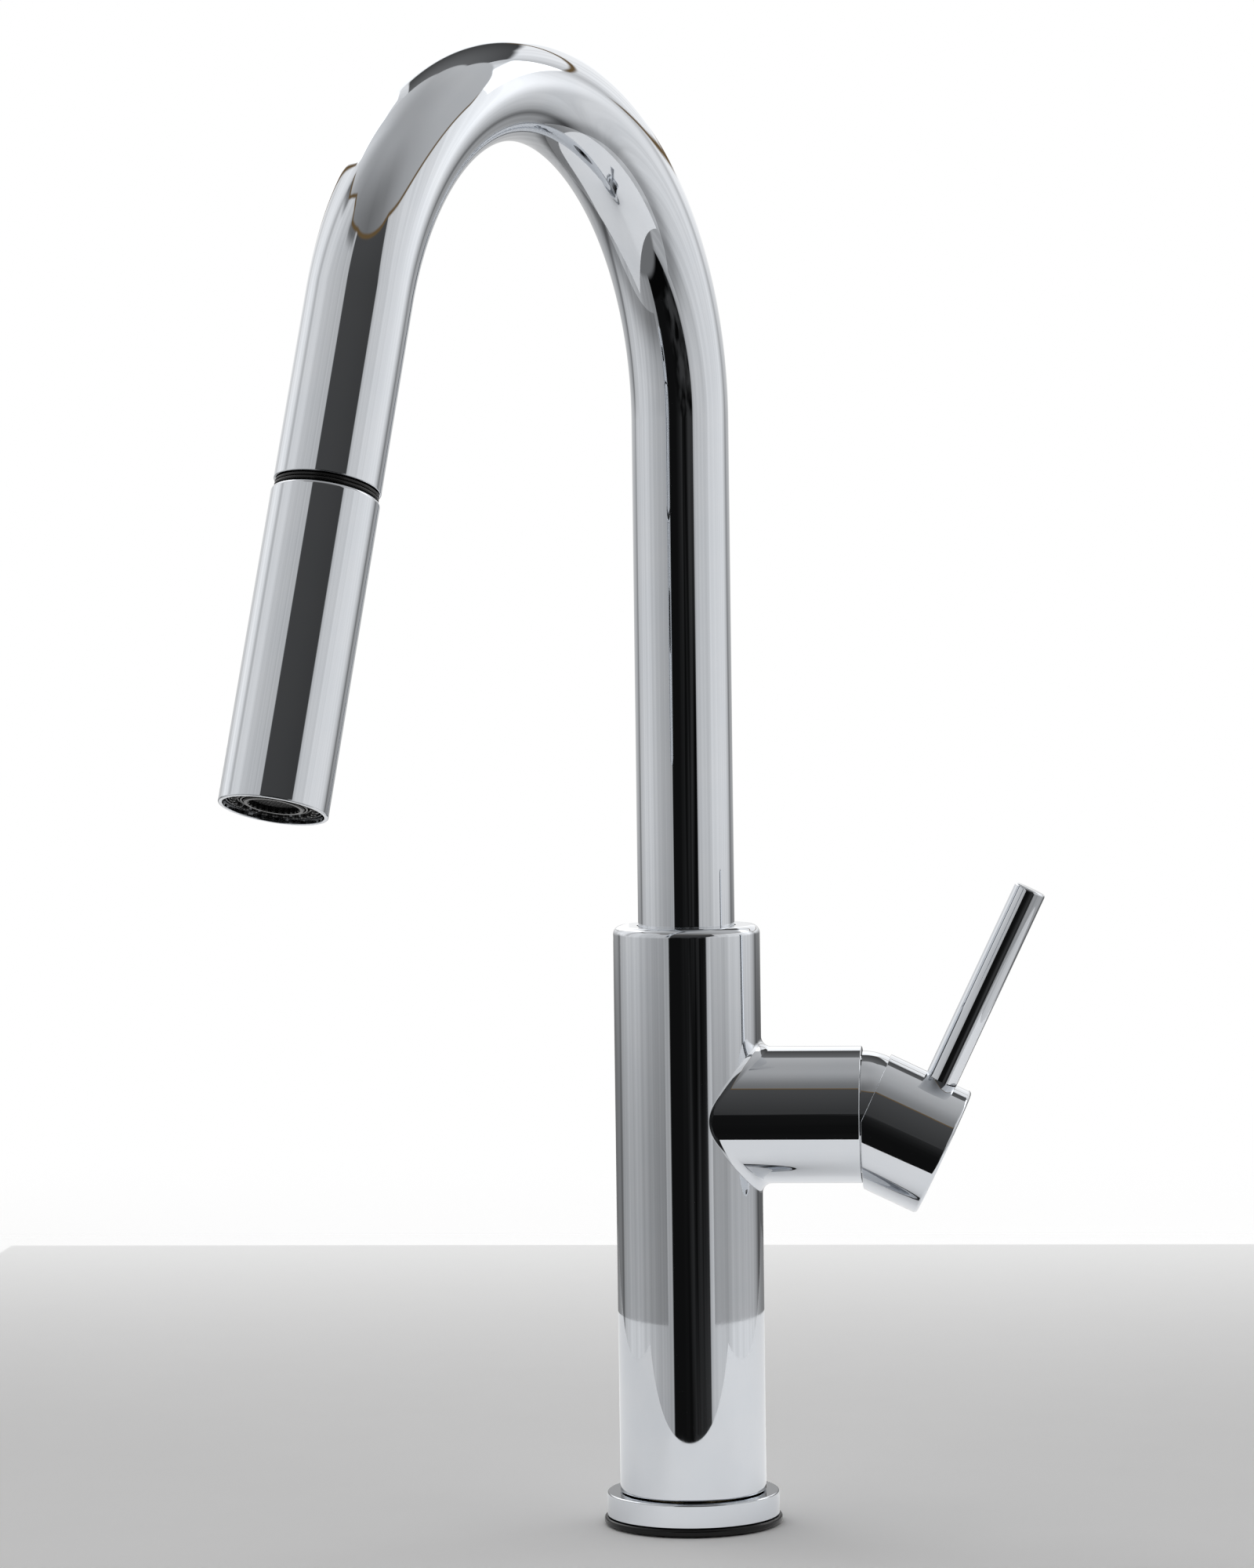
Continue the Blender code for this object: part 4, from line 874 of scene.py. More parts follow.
def makeButton():
    """A pad with round ends that follows the wand's curve, with finger ribs across its middle and a lip inside."""
    v = buttonValues
    direction = np.linspace(-pi, pi, v["around"] + 1)
    half, pitch, crown = v["width"] / 2, v["ribPitch"], v["crown"]
    skin = wandValues["radius"] + v["proud"]

    def padOutline(halfWidth):
        angle, height = slotHole(skin, halfWidth, v["length"] / 2 - half)(direction)
        return skin * np.sin(angle), height

    edgeY, edgeZ = padOutline(half)
    share = np.linspace(0, 1, v["rows"] + 1)[:, None] ** 0.8
    y, z = edgeY * share, edgeZ * share
    roundOff = v["edge"] * (1 - np.sqrt(np.clip(1 - np.clip((share - 0.8) / 0.2, 0, 1) ** 2, 0, 1)))
    ribZone = np.clip((v["ribs"] * pitch / 2 - np.abs(z)) / (pitch * 0.3), 0, 1)
    ribZone = ribZone * np.clip((0.82 - np.clip(np.abs(y) / half, 0, 1)) / 0.12, 0, 1)
    rib = v["ribHeight"] * 0.5 * (1 - np.cos(2 * pi * (z / pitch + 0.5))) * ribZone
    height = np.sqrt(skin**2 - y**2) - roundOff + rib + crown * (1 - share**2) - crown
    lipY, lipZ = padOutline(half + v["lip"])
    flange, back = v["flangeOut"] + 0 * lipY, v["back"] + 0 * lipY
    rows = [(height[-1], edgeY, edgeZ), (flange, edgeY, edgeZ), (flange, lipY, lipZ), (back, lipY, lipZ),
            (back, 0 * lipY, 0 * lipZ)]
    side = np.stack([stackGrid(a, b, v["at"] + d) for a, b, d in rows])
    patches = placed([(stackGrid(height, y, v["at"] + z), None), (side, None)], wandFrame)
    makePiece("sprayButton", patches, blackPlastic, "button", "spray_button", sharp=38)


def makeSeam():
    v = seamValues
    edge, gap, half, nose, soft = v["edge"], v["gap"], v["half"], v["nose"], v["soft"]
    inner, band, guideOut, guideTop = v["guideIn"], v["bandRadius"], v["guideOut"], -v["guideTop"]
    guide = [(inner, -gap, soft), (band, -gap, edge), (band, -half, 0.0003), (guideOut, -half, 0),
             (guideOut, guideTop, 0.0004), (inner, guideTop, 0.0004)]
    turnedPiece("dockGuide", guide, blackPlastic, "spout", wandFrame, "dock_guide")
    skirt, low, nut, top = wandValues["bore"] - v["skirtGap"], v["skirtLow"], v["nutInside"], -v["noseTop"]
    collar = [(nose, gap, 0), (band, gap, edge), (band, half, 0.0003), (skirt, half, 0), (skirt, low, 0),
              (nut, low, 0), (nut, top, soft), (nose, top, 0.0005)]
    turnedPiece("wandCollar", collar, blackPlastic, "wand", wandFrame, "wand_collar")


def makeFace():
    v = faceValues
    radius, hole, low, top, soft = v["radius"], v["hole"], v["low"], v["top"], v["soft"]
    middle, groove = (radius + hole) / 2, v["grooveHalf"]
    inner, outer, deep = middle - groove, middle + groove, low - v["grooveDepth"]
    corners = [(hole, top, 0), (radius, top, 0.0004), (radius, low, 0.0003), (outer, low, soft), (outer, deep, 0),
               (inner, deep, 0), (inner, low, soft), (hole, low, soft)]
    turnedPiece("sprayFace", corners, blackPlastic, "wand", wandFrame, "spray_face")
    # rubber ring with its nozzle tips, each a short cone with a blind hole
    inner, outer, face, floor = middle - v["ringHalf"], middle + v["ringHalf"], low - soft, deep + v["ringLift"]
    ring = [(inner, floor, 0), (outer, floor, 0), (outer, face, 0.0003), (inner, face, 0.0003)]
    wide, bore, foot, end = v["tipRadius"], v["tipBore"], face - v["tipSink"], face + v["tipTop"]
    tip = [(0, foot, 0), (wide + 0.0001, foot, 0), (wide * 0.8, end, 0.0002), (bore, end, 0.0001),
           (bore, face - 0.0001, 0), (0, face - 0.0001, 0)]
    one = turnedPatches(roundedOutline(tip, closed=False, steps=3), 20)
    patches = turnedPatches(roundedOutline(ring))
    for turn in 2 * pi * np.arange(v["nozzles"]) / v["nozzles"]:
        patches += [(grid + [middle * cos(turn), middle * sin(turn), 0], normals) for grid, normals in one]
    makePiece("nozzleRing", placed(patches, wandFrame), blackRubber, "wand", "nozzle_ring")
    # aerator housing with lugs for its key round the inside of its rim
    out, edge, proud = v["aeratorOut"], v["aeratorEdge"], low + v["aeratorProud"]
    within, lug = out - v["aeratorWall"], out - v["aeratorWall"] - 0.0001
    angle = np.linspace(-pi, pi, 384 + 1)
    wave = np.clip(np.sin(angle * v["lugs"]) * 3, -1, 1) * 0.5 + 0.5
    rims = [(within, top, 0), (out, top, 0), (out, proud - edge, 0), (out - edge, proud, 0), (within + edge, proud, 0),
            (lug, proud - edge, 1), (lug, proud - 0.0022, 1), (within, proud - 0.0026, 0), (within, top, 0)]
    grid = np.stack([polar(r + notch * v["lugDepth"] * wave, angle, z) for r, z, notch in reversed(rims)])
    patches = placed([(grid, None)], wandFrame)
    makePiece("aeratorHousing", patches, blackPlastic, "wand", "aerator_housing", sharp=35)


def makeScreen():
    """A woven wire screen: two sets of wires that pass over and under each other."""
    v = screenValues
    pitch, wire, height = v["pitch"], v["wire"], faceValues["low"] - v["depth"]
    count = int(v["radius"] / pitch)
    turn = np.linspace(0, 2 * pi, 7)
    patches = []
    for crossing in (0, 1):
        for k, lane in enumerate(np.arange(-count, count + 1) * pitch):
            reach = sqrt(max(v["radius"] ** 2 - lane**2, 0)) - v["endGap"]
            if reach < pitch:
                continue
            along = np.linspace(-reach, reach, max(8, int(2 * reach / pitch * 6)))[:, None]
            wave = wire * 1.05 * np.cos(pi * along / pitch + pi * (k + crossing - count))
            side, z = wire * np.cos(turn) + lane, height + wire * np.sin(turn) + wave
            grid = stackGrid(side, along, z) if crossing else stackGrid(along, side, z)
            caps = [np.stack([np.broadcast_to(ring.mean(axis=0), ring.shape), ring]) for ring in (grid[0], grid[-1])]
            flipped = (not crossing, not crossing, crossing)
            patches += [(part[::-1] if flip else part, None) for part, flip in zip([grid, *caps], flipped)]
    patches = placed(patches, wandFrame)
    # the screen's near-black finish is painted shade of its recess
    makePiece("aeratorScreen", patches, meshPaintedShade, "wand", "aerator_screen", sharp=60)


springValues = dict(wire=0.0003, turns=3, perTurn=28, around=10)
ringSlack = 0.00004


def makeSpring():
    """The button's spring: round wire on a helix about the press axis."""
    v = springValues
    press, node = joints["spray_button_press"], frame["nodes"]["button_spring"]
    where = axisFrame(np.array(seamPoint) + buttonValues["at"] * np.array(wandAlong), columnSide, wandAlong)
    points = np.empty(len(node.data.vertices) * 3)
    node.data.vertices.foreach_get("co", points)
    matrix = np.array(node.matrix_world)
    local = (points.reshape(-1, 3) @ matrix[:3, :3].T + matrix[:3, 3] - where[0]) @ where[1].T
    reach = np.linalg.norm(local[:, :2], axis=1)
    low, high, coil = local[:, 2].min(), local[:, 2].max(), (reach.min() + reach.max()) / 2
    turn = np.linspace(0, 2 * pi * v["turns"], v["turns"] * v["perTurn"] + 1)
    rise = (high - low - 2 * v["wire"]) / turn[-1]
    centres = polar(coil, turn, low + v["wire"] + rise * turn)
    along = stackGrid(-coil * np.sin(turn), coil * np.cos(turn), rise)
    along /= np.linalg.norm(along, axis=1, keepdims=True)
    across = polar(1.0, turn, 0.0)
    patches = placed(closedTube(centres, across, np.cross(along, across), v["wire"], v["around"]), where)
    spring = makePiece("buttonSpring", patches, steel, "wand", "button_spring")
    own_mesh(spring)


def makeRings():
    """The spout's two O-rings, round in section and a little slimmer than their grooves."""
    turn = np.linspace(-pi, pi, 25)
    circle = np.stack([np.cos(turn), np.sin(turn)], axis=1)
    for node, name in (("spout_o_ring_upper", "spoutRingUpper"), ("spout_o_ring_lower", "spoutRingLower")):
        low, high, wide = nodeLow(node, 2), nodeHigh(node, 2), nodeHigh(node, 0)
        small = (high - low) / 2
        section = np.hstack([[wide - small, (low + high) / 2] + (small - ringSlack) * circle, circle])
        makePiece(name, turnedPatches([section], 128), blackRubber, "spout", node)


makeWandShell()
makeButton()
makeSeam()
makeFace()
makeScreen()
makeRings()
print("wand ready")

# ---- the hose and the copper tubes

hoseValues = dict(radius=0.0055, legStart=0.0080, joinGap=0.0003, end=0.0122, around=48, legRows=60)


def makeBraidGroup():
    """Two crossing sets of flat strands: each strand lies over, then under, the other set."""
    group, given, result = newGroup(
        "braid",
        [("Around", "Float", 0.0), ("Along", "Float", 0.0), ("Strands", "Float", 12.0), ("Pitch", "Float", 0.012)],
        [("Height", "Float"), ("Gap", "Float")],
    )
    around, along, strands, pitch = given.outputs[:4]
    lift = addMath(group, "DIVIDE", along, pitch)
    halves = [times(group, addMath(group, "ADD", around, times(group, lift, sign)), strands) for sign in (1.0, -1.0)]
    bumps = [addMath(group, "ABSOLUTE", addMath(group, "SINE", times(group, half, pi))) for half in halves]
    overs = addMath(group, "SINE", times(group, addMath(group, "ADD", *halves), pi))
    over = softRange(group, overs, -0.3, 0.3)
    under = addMath(group, "SUBTRACT", 1.0, over)
    height = addMath(group, "ADD", times(group, bumps[0], over), times(group, bumps[1], under))
    group.links.new(height, result.inputs["Height"])
    group.links.new(softRange(group, height, 0.15, 0.5, 1.0, 0.0), result.inputs["Gap"])
    return group


braid = makeBraidGroup()


def makeBraidFinish(name, alongWand):
    """Woven steel over black: along the wand's axis the pattern is read in space, elsewhere from the tube's own map."""
    material, tree, shader = newMaterial(name)
    if alongWand:
        place = {"Vector": addNode(tree, "TexCoord").outputs["Object"], "Location": seamPoint,
                 "Rotation": Matrix(wandFrame[1].T.tolist()).to_euler()}
        x, y, along = addSplit(tree, addNode(tree, "Mapping", place, vector_type="TEXTURE").outputs["Vector"])
        around = addMath(tree, "DIVIDE", addMath(tree, "ARCTAN2", y, x), 2 * pi)
    else:
        around, along, _ = addSplit(tree, addNode(tree, "UVMap", uv_map="tube").outputs["UV"])
    height, gap = addNode(tree, "Group", {"Around": around, "Along": along}, node_tree=braid).outputs
    colour = blendColours(tree, gap, (0.52, 0.53, 0.55, 1), (0.03, 0.03, 0.032, 1))
    tree.links.new(colour, shader.inputs["Base Color"])
    tree.links.new(mapRange(tree, gap, 0.0, 1.0, 0.28, 0.6), shader.inputs["Roughness"])
    tree.links.new(mapRange(tree, gap, 0.0, 1.0, 0.9, 0.0), shader.inputs["Metallic"])
    tree.links.new(addBump(tree, height, 0.0003), shader.inputs["Normal"])
    return material


def addTubeMap(piece):
    """A map named tube: turns round the spout's centreline, and metres along it."""
    mesh = piece.data
    layer = mesh.uv_layers.new(name="tube")
    points = np.empty(len(mesh.vertices) * 3)
    mesh.vertices.foreach_get("co", points)
    around, along = hoseSpace(points.reshape(-1, 3))
    index = np.empty(len(mesh.loops), np.int32)
    mesh.loops.foreach_get("vertex_index", index)
    faceOf = np.repeat(np.arange(len(mesh.polygons)), [polygon.loop_total for polygon in mesh.polygons])
    u = around[index]
    highest = np.full(len(mesh.polygons), -np.inf)
    np.maximum.at(highest, faceOf, u)
    u = np.where(highest[faceOf] - u > 0.5, u + 1.0, u)
    layer.data.foreach_set("uv", np.stack([u, along[index]], axis=1).ravel())


def hoseSpace(points):
    """Turns round the spout's centreline, and the distance along it."""
    out, side, z = points @ heading, points @ np.cross([0, 0, 1], heading), points[:, 2]
    bend, top, last = spout["bendRadius"], spout["straightTop"], radians(spout["bendAngle"])
    angle = np.clip(np.arctan2(z - top, bend - out), 0, None)
    onBend = ((z > top) | (out > bend)) & (angle <= 3.3)
    angle = np.minimum(np.where(onBend, angle, 0.0), last)
    c, s = np.cos(angle), np.sin(angle)
    outward, upward = out - bend * (1 - c), z - top - bend * s
    along = np.where(angle > 0, top + bend * angle, z)
    along = along + np.where(angle >= last - 1e-9, outward * s + upward * c, 0.0)
    return np.arctan2(side, outward * c - upward * s) / (2 * pi), along


def closedTube(centres, across, beside, radius, around):
    grid, normals = sweptPatches(centres, across, beside, radius, around)
    patches = [(grid, normals)]
    for end, facing in ((0, centres[0] - centres[1]), (-1, centres[-1] - centres[-2])):
        disc = np.stack([np.broadcast_to(centres[end], grid[end].shape), grid[end]])
        patches.append((disc, np.broadcast_to(facing / np.linalg.norm(facing), disc.shape).copy()))
    return patches


def makeHose():
    """The hose runs up the column and round the bend, and its last straight stretch runs on to the wand."""
    v = hoseValues
    centres, across, beside, along = spoutPath(90, v["legStart"])
    centres[0] = [0, 0, nodeLow("spray_hose", 2)]
    patches = closedTube(centres, across, beside, v["radius"], v["around"])
    run = makePiece("sprayHose", patches, makeBraidFinish("braidOnRun", False), "spout", "spray_hose")
    addTubeMap(run)
    start, end = centres[-1] + along[-1] * v["joinGap"], np.array(seamPoint) - np.array(wandAlong) * v["end"]
    share = np.linspace(0, 1, v["legRows"] + 1)[:, None]
    line = start * (1 - share) + end * share
    sides = (np.repeat(side[-1:], len(line), 0) for side in (across, beside))
    patches = closedTube(line, *sides, v["radius"], v["around"])
    leg = makePiece("sprayHoseLeg", patches, makeBraidFinish("braidOnLeg", True))
    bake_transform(leg)


makeHose()
makeSpring()
print("hose ready")

# ---- everything else keeps its CAD shape and takes a finish

carriedOver = [
    (blackRubber, "hot_port_seal cold_port_seal outlet_port_seal"
                  " connector_washer face_o_ring set_screw_plug"),
    (whitePlastic, "cartridge_housing cartridge_cover swivel_bearing_upper swivel_bearing_lower check_valve"),
    (greyPlastic, "stem_carrier disc_driver wand_core"),
    (whiteCeramic, "fixed_ceramic_disc moving_ceramic_disc"),
    (steel, "cartridge_stem stem_pin handle_set_screw spout_retaining_ring hose_ferrule"),
    (copper, "hot_inlet_tube cold_inlet_tube outlet_tube"),
    (brass, "hot_inlet_nipple cold_inlet_nipple hose_coupling swivel_sleeve"),
    (brassArm, "valve_manifold cartridge_nut"),
    (brassWand, "swivel_stem hose_nut diverter_spool"),
]
for finish, names in carriedOver:
    for name in names.split():
        node = frame["nodes"][name]
        node.data.materials.clear()
        node.data.materials.append(finish)
print("carried over pieces finished")

# ---- studio

camera = dict(place=(0.11492, -1.46014, 0.27831), yaw=-5.152, pitch=-2.468, roll=-0.759, lens=116.15, sensor=36.0)
table = dict(front=-0.172, back=0.600, left=-0.330, right=0.330)
floorSize = 3.0


def makeCamera():
    """Yaw turns from +Y towards +X, then the view pitches up, then it rolls about its own line."""
    yaw, pitch, roll = (radians(camera[key]) for key in ("yaw", "pitch", "roll"))
    forward = Vector((sin(yaw) * cos(pitch), cos(yaw) * cos(pitch), sin(pitch)))
    level = Vector((cos(yaw), -sin(yaw), 0.0))
    upward = level.cross(forward)
    right = level * cos(roll) + upward * sin(roll)
    up = upward * cos(roll) - level * sin(roll)
    data = bpy.data.cameras.new("studioCamera")
    data.lens, data.sensor_fit, data.sensor_height = camera["lens"], "VERTICAL", camera["sensor"]
    data.clip_start, data.clip_end = 0.01, 20.0
    made = addObject("studioCamera", data)
    made.matrix_world = Matrix.Translation(camera["place"]) @ Matrix((right, up, -forward)).transposed().to_4x4()
    bpy.context.scene.camera = made


def makeStageMesh(name, points, faces):
    """A studio surface with its own material."""
    mesh = bpy.data.meshes.new(name)
    mesh.from_pydata(points, [], faces)
    material, tree, shader = newMaterial(name)
    mesh.materials.append(material)
    made = addObject(name, mesh)
    return made, tree, shader


def makeSheet(name, left, right, front, back, height, tone, fade=None):
    """A level sheet. Where it fades, it lets the white behind it through by distance from the front."""
    corners = [(left, front, height), (right, front, height), (right, back, height), (left, back, height)]
    sheet, tree, shader = makeStageMesh(name, corners, [(0, 1, 2, 3)])
    place = addNode(tree, "TexCoord").outputs["Object"]
    grain = mapRange(tree, addNoise(tree, place, 30.0), 0.0, 1.0, tone - 0.01, tone + 0.01)
    tree.links.new(grain, shader.inputs["Base Color"])
    shader.inputs["Roughness"].default_value = 0.9
    if fade is not None:
        tree.links.new(softRange(tree, addSplit(tree, place)[1], *fade, 1.0, 0.0), shader.inputs["Alpha"])
    return sheet


wallFoot = dict(radius=0.42, top=0.2, low=0.05, tint=0.62, backLow=0.1, backTint=0.3, clear=36.0)


def makeWallFoot():
    """The walls are in shade near the table: a clear upright screen that dims what is seen through its foot."""
    v = wallFoot
    radius, toCamera = v["radius"], -90.0 - camera["yaw"]
    angle = np.radians(np.linspace(toCamera + v["clear"], toCamera + 360.0 - v["clear"], 97))
    grid = polar(radius, angle, np.array([[0.0], [v["top"]]]))
    count = len(angle)
    faces = [(i, i + 1, i + 1 + count, i + count) for i in range(count - 1)]
    screen, tree, shader = makeStageMesh("wallFoot", grid.reshape(-1, 3).tolist(), faces)
    tree.nodes.remove(shader)
    _, y, z = addSplit(tree, addNode(tree, "TexCoord").outputs["Object"])
    behind = softRange(tree, y, radius * 0.5, radius * 0.95)
    height = softRange(tree, z, blendTo(tree, behind, v["low"], v["backLow"]), v["top"])
    tint = blendTo(tree, height, blendTo(tree, behind, v["tint"], v["backTint"]), 1.0)
    clear = addNode(tree, "BsdfTransparent", {"Color": tint})
    tree.links.new(clear.outputs[0], tree.nodes["Material Output"].inputs["Surface"])
    screen.visible_camera = screen.visible_diffuse = screen.visible_shadow = False


def shownTone(shown):
    """The light that polished chrome shows as this 0 to 255 tone."""
    return ((shown / 255 + 0.055) / 1.055) ** 2.4 / 0.66


def aroundRamp(tree, azimuth, stops, scale):
    """A value that changes with azimuth, from (degrees, value) stops."""
    node = addNode(tree, "ValToRGB", {"Fac": mapRange(tree, azimuth, -180.0, 180.0)})
    ramp = node.color_ramp
    while len(ramp.elements) < len(stops):
        ramp.elements.new(0.5)
    for element, (at, _) in zip(ramp.elements, stops):
        element.position = (at + 180) / 360
    for element, (_, value) in zip(ramp.elements, stops):
        element.color = (*[value / scale] * 3, 1)
    return times(tree, node.outputs["Color"], scale)


def toneRamp(tree, azimuth, key):
    return aroundRamp(tree, azimuth, [(at, shownTone(tone)) for at, tone in studioTones[key]], 1.6)


def edgeRamp(tree, azimuth, stops):
    return aroundRamp(tree, azimuth, stops, 90.0)


def above(tree, value, edge, soft=1.0):
    """1 where the value is over the edge, 0 where it is under it, with a soft step."""
    return softRange(tree, addMath(tree, "SUBTRACT", value, edge), -soft, soft)


def below(tree, value, edge, soft=1.0):
    return addMath(tree, "SUBTRACT", 1.0, above(tree, value, edge, soft))


def blendTo(tree, share, first, second):
    return mapRange(tree, share, 0.0, 1.0, first, second)


studioTones = dict(
    # azimuth from the camera's side, positive to the right, with the tone shown there
    highWall=(
        (-180, 238), (-165, 230), (-150, 195), (-135, 222), (-119, 226), (-109, 165), (-103, 200), (-90, 203),
        (-60, 180), (-30, 172), (48, 180), (62, 197), (90, 211), (105, 229), (120, 246), (131, 185), (136, 222),
        (160, 226), (180, 238),
    ),
    lowWall=(
        (-180, 172), (-150, 168), (-138, 140), (-133, 108), (-127, 175), (-110, 196), (-90, 198), (-60, 168),
        (-31, 155), (30, 165), (42, 190), (60, 182), (68, 202), (105, 209), (122, 198), (132, 150), (136, 95),
        (141, 140), (180, 172),
    ),
    ceiling=(
        (-180, 170), (-150, 185), (-120, 204), (-92, 158), (-60, 125), (-30, 112), (0, 102), (30, 118), (60, 150),
        (90, 166), (150, 180), (180, 170),
    ),
    zenith=153, front=14, frontHigh=58, lip=5, under=104, topBack=70, bright=2.2, brightBack=242,
)
studioEdges = dict(
    # azimuth with an elevation, all in degrees
    roof=(
        (-180, 62), (-155, 57), (-118, 49), (-95, 50), (-86, 54), (-75, 57.5), (-63, 56), (-54, 53), (-30, 52.5),
        (0, 48.5), (35, 43), (45, 42.5), (60, 38.5), (80, 34.5), (106, 28.5), (120, 42), (132, 49), (145, 59),
        (180, 62),
    ),
    brightLow=(
        (-180, 4), (-165, 9), (-121, 46), (-118, 80), (108, 80), (110, 24), (130, 22), (133, 80), (163, 80),
        (168, 20), (180, 10),
    ),
    brightHigh=(
        (-180, 36), (-158, 36), (-150, 49), (-138, 53), (-121, 50), (108, 30), (119, 43), (130, 40), (165, 32),
        (180, 36),
    ),
    backLow=((-180, 37), (-160, 38), (-153, 60), (-150, 89), (131, 89), (133, 42), (150, 41), (165, 34), (180, 37)),
    slants=(((-166, 7), (-122, 46)), ((130, 22), (150, 29), (168, 36)), ((130, 13), (150, 13), (168, 10))),
    frontLeft=-29.0, frontRight=30.0, frontBreak=8.0, highLeft=-27.0, highRight=44.0, lipLow=-57.0, lipHigh=-47.0,
)


def addOpening(tree, direction, azimuth, elevation, wall):
    """The dark opening in front, with a lip and the floor beyond the table low in it."""
    tones, edges = studioTones, studioEdges
    blotch = softRange(tree, addNoise(tree, direction, 3.5, 3.0, 0.55), 0.4, 0.62, shownTone(4), shownTone(52))
    near = blendTo(tree, softRange(tree, azimuth, -12.0, 14.0), shownTone(tones["front"]), blotch)
    far = mapRange(tree, elevation, 12.0, 45.0, shownTone(tones["frontHigh"] - 6), shownTone(tones["frontHigh"] + 8))
    start, waves = edges["frontBreak"], addNoise(tree, direction, 9.0, 3.0, 0.7)
    upper = above(tree, elevation, mapRange(tree, waves, 0.3, 0.7, start - 5.0, start + 4.0), 1.2)
    left = above(tree, azimuth, blendTo(tree, upper, edges["frontLeft"], edges["highLeft"]), 1.2)
    rightEdge = mapRange(tree, elevation, start, 19.0, edges["frontRight"], edges["highRight"] + 2.0)
    opening = times(tree, left, below(tree, azimuth, rightEdge, 1.2))
    value = blendTo(tree, opening, wall, blendTo(tree, upper, near, far))
    lipLow, lipHigh = edges["lipLow"], edges["lipHigh"]
    lip = times(tree, opening, above(tree, elevation, lipLow), below(tree, elevation, lipHigh))
    value = blendTo(tree, lip, value, shownTone(tones["lip"]))
    return blendTo(tree, below(tree, elevation, lipLow, 2.0), value, shownTone(tones["under"]))


def addPoles(tree, azimuth, elevation, roof):
    """Where a thin pole runs along the roof's edge, and where slanted ones cross the walls."""
    pole = None
    slants = [(edgeRamp(tree, azimuth, stops), stops[0][0], stops[-1][0]) for stops in studioEdges["slants"]]
    for line, first, last in ((roof, -112.0, 108.0), *slants):
        away = addMath(tree, "ABSOLUTE", addMath(tree, "SUBTRACT", elevation, line))
        near = times(tree, below(tree, away, 0.8, 0.6), above(tree, azimuth, first, 2.0),
                     below(tree, azimuth, last, 2.0))
        pole = near if pole is None else addMath(tree, "MAXIMUM", pole, near)
    return pole


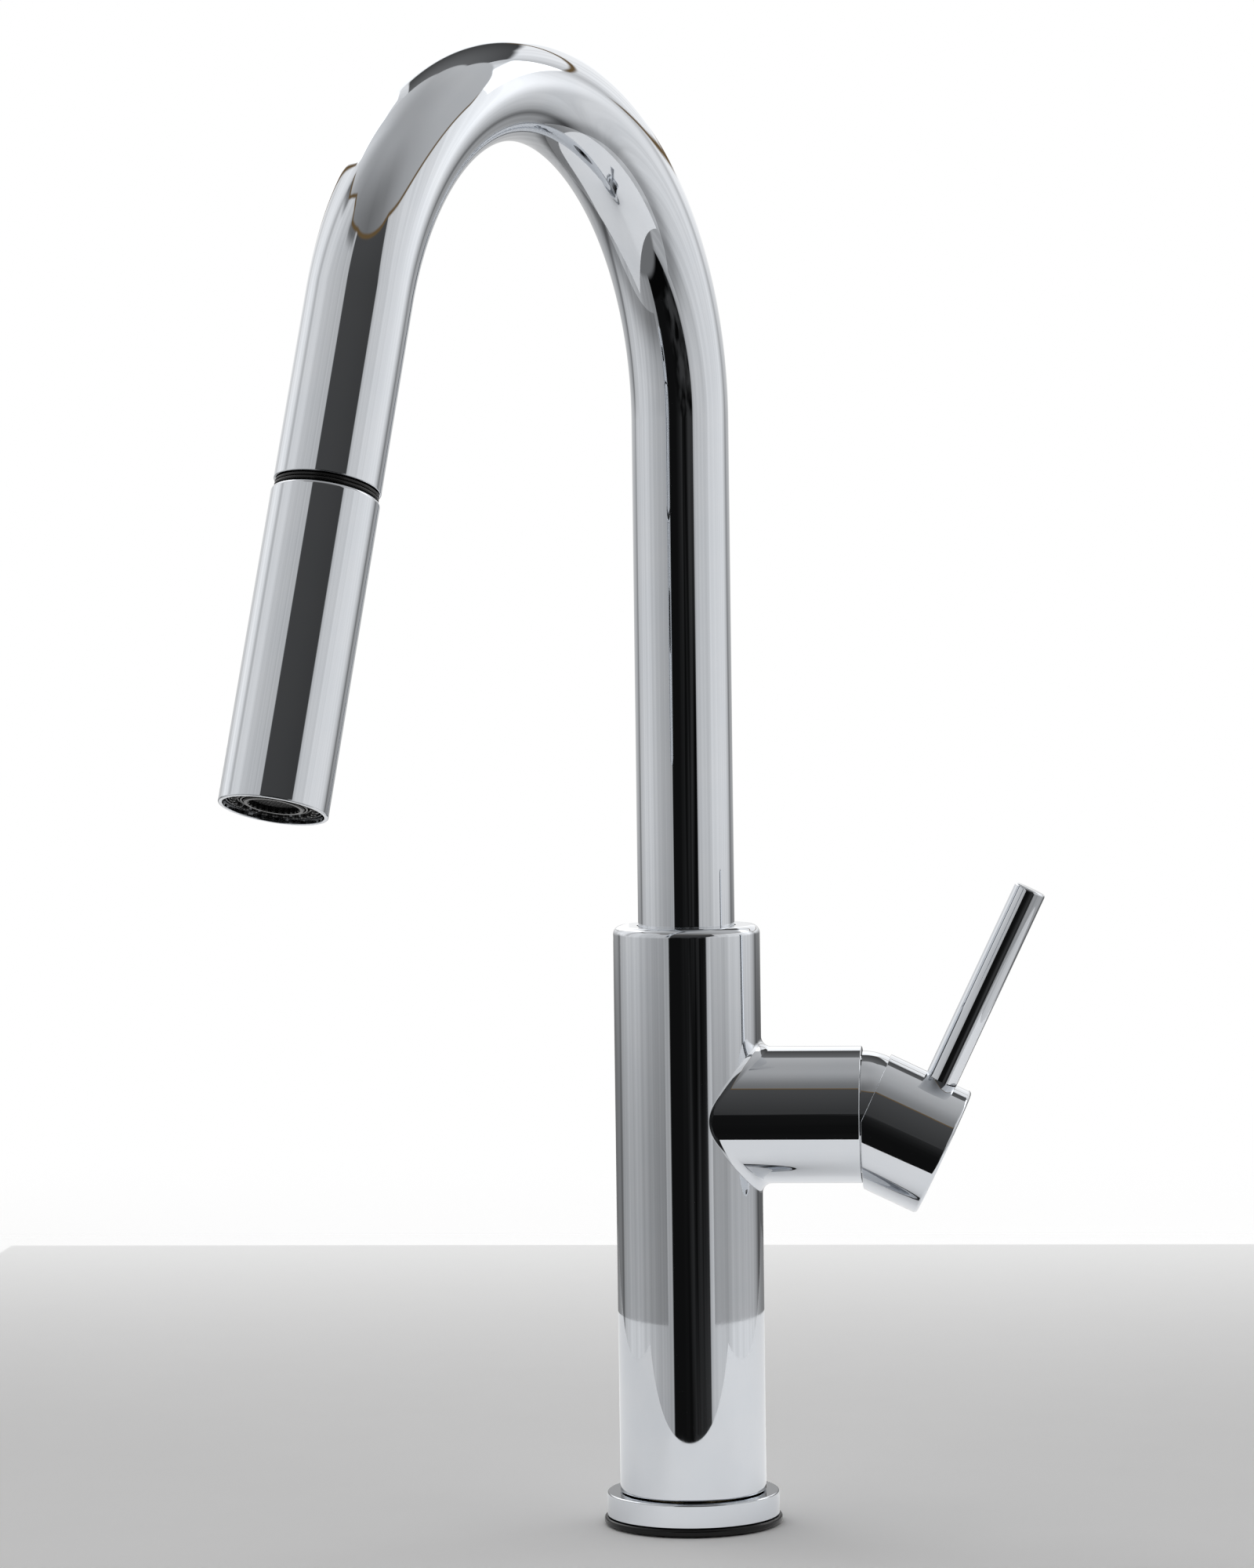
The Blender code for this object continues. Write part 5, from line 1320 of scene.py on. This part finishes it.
def makeWorld():
    """Light by direction: pale walls, a dark opening in front, and a cloth ceiling with bright panels at its far
    corners. The camera itself sees plain white behind the object."""
    world = bpy.data.worlds.new("studio")
    bpy.context.scene.world = world
    world.use_nodes = True
    tree = world.node_tree
    tree.nodes.clear()
    tones, edges = studioTones, studioEdges
    direction = addNode(tree, "TexCoord").outputs["Generated"]
    x, y, z = addSplit(tree, direction)
    # azimuth 0 looks from the faucet back to the camera, and grows to the camera's right
    c, s = cos(radians(camera["yaw"])), sin(radians(camera["yaw"]))
    frontward = addMath(tree, "SUBTRACT", times(tree, x, -s), times(tree, y, c))
    sideward = addMath(tree, "SUBTRACT", times(tree, x, c), times(tree, y, s))
    azimuth = addMath(tree, "DEGREES", addMath(tree, "ARCTAN2", sideward, frontward))
    elevation = addMath(tree, "DEGREES", addMath(tree, "ARCSINE", z))
    # walls of hanging cloth, with soft upright folds
    high = toneRamp(tree, azimuth, "highWall")
    low = times(tree, toneRamp(tree, azimuth, "lowWall"), mapRange(tree, elevation, -10.0, -45.0, 1.0, 0.7))
    wall = blendTo(tree, softRange(tree, elevation, -3.0, 12.0), low, high)
    foldPlace = addNode(tree, "CombineXYZ", {"X": times(tree, azimuth, 0.16), "Y": times(tree, elevation, 0.012)})
    folds = addNoise(tree, foldPlace.outputs[0], 1.0, 3.0, 0.6)
    wall = times(tree, wall, mapRange(tree, folds, 0.3, 0.7, 0.86, 1.1))
    value = addOpening(tree, direction, azimuth, elevation, wall)
    # bright panels, and the dark gap behind and above them
    bright = times(tree, above(tree, elevation, edgeRamp(tree, azimuth, edges["brightLow"]), 0.8),
                   below(tree, elevation, edgeRamp(tree, azimuth, edges["brightHigh"]), 1.5))
    behind = above(tree, addMath(tree, "ABSOLUTE", azimuth), 156.0, 3.0)
    value = blendTo(tree, bright, value, blendTo(tree, behind, tones["bright"], shownTone(tones["brightBack"])))
    gap = above(tree, elevation, edgeRamp(tree, azimuth, edges["backLow"]), 1.5)
    topBack = tones["topBack"]
    gapTone = mapRange(tree, elevation, 38.0, 62.0, shownTone(topBack - 12), shownTone(topBack + 30))
    value = blendTo(tree, gap, value, gapTone)
    # cloth ceiling, with the shade under its edge and the poles
    roof = edgeRamp(tree, azimuth, edges["roof"])
    cloth = blendTo(tree, softRange(tree, elevation, 52.0, 84.0), toneRamp(tree, azimuth, "ceiling"),
                    shownTone(tones["zenith"]))
    fromMiddle = addMath(tree, "ABSOLUTE", addMath(tree, "ADD", azimuth, 75.0))
    underRoof = addMath(tree, "SUBTRACT", roof, 5.0)
    shade = times(tree, above(tree, azimuth, -110.0, 3.0), below(tree, azimuth, -32.0, 3.0),
                  above(tree, fromMiddle, 16.0, 5.0), above(tree, elevation, underRoof, 3.0))
    value = times(tree, value, blendTo(tree, shade, 1.0, 0.3))
    value = blendTo(tree, above(tree, elevation, roof, 0.8), value, cloth)
    brown = (0.17, 0.11, 0.05, 1)
    colour = blendColours(tree, addPoles(tree, azimuth, elevation, roof), value, brown)
    studio = addNode(tree, "Background", {"Color": colour}).outputs[0]
    plain = addNode(tree, "Background", {"Color": (1, 1, 1, 1)}).outputs[0]
    seen = addNode(tree, "LightPath").outputs["Is Camera Ray"]
    mix = addNode(tree, "MixShader", {"Fac": seen, 1: studio, 2: plain})
    addNode(tree, "OutputWorld", {"Surface": mix.outputs[0]})


overhead = dict(energy=17.0, size=0.9, place=(0.45, -0.2, 1.5))


def makeOverhead():
    """A soft light that only matte things feel: it whitens the table and leaves a faint shadow to the left."""
    data = bpy.data.lights.new("overhead", "AREA")
    data.energy, data.size = overhead["energy"], overhead["size"]
    light, place = addObject("overhead", data), Vector(overhead["place"])
    light.matrix_world = Matrix.Translation(place) @ place.to_track_quat("Z", "Y").to_matrix().to_4x4()
    light.visible_glossy = light.visible_camera = False


makeCamera()
tableTop = makeSheet("tableTop", table["left"], table["right"], table["front"], table["back"], 0.0, 0.78)
tableTop.visible_camera = tableTop.visible_diffuse = False
farFloor = makeSheet("farFloor", -floorSize, floorSize, -floorSize, floorSize, -0.0004, 0.93, fade=(0.1, 0.9))
farFloor.visible_glossy = False
makeWallFoot()
makeWorld()
makeOverhead()
bpy.context.scene.view_settings.view_transform = "Standard"
print("studio ready")
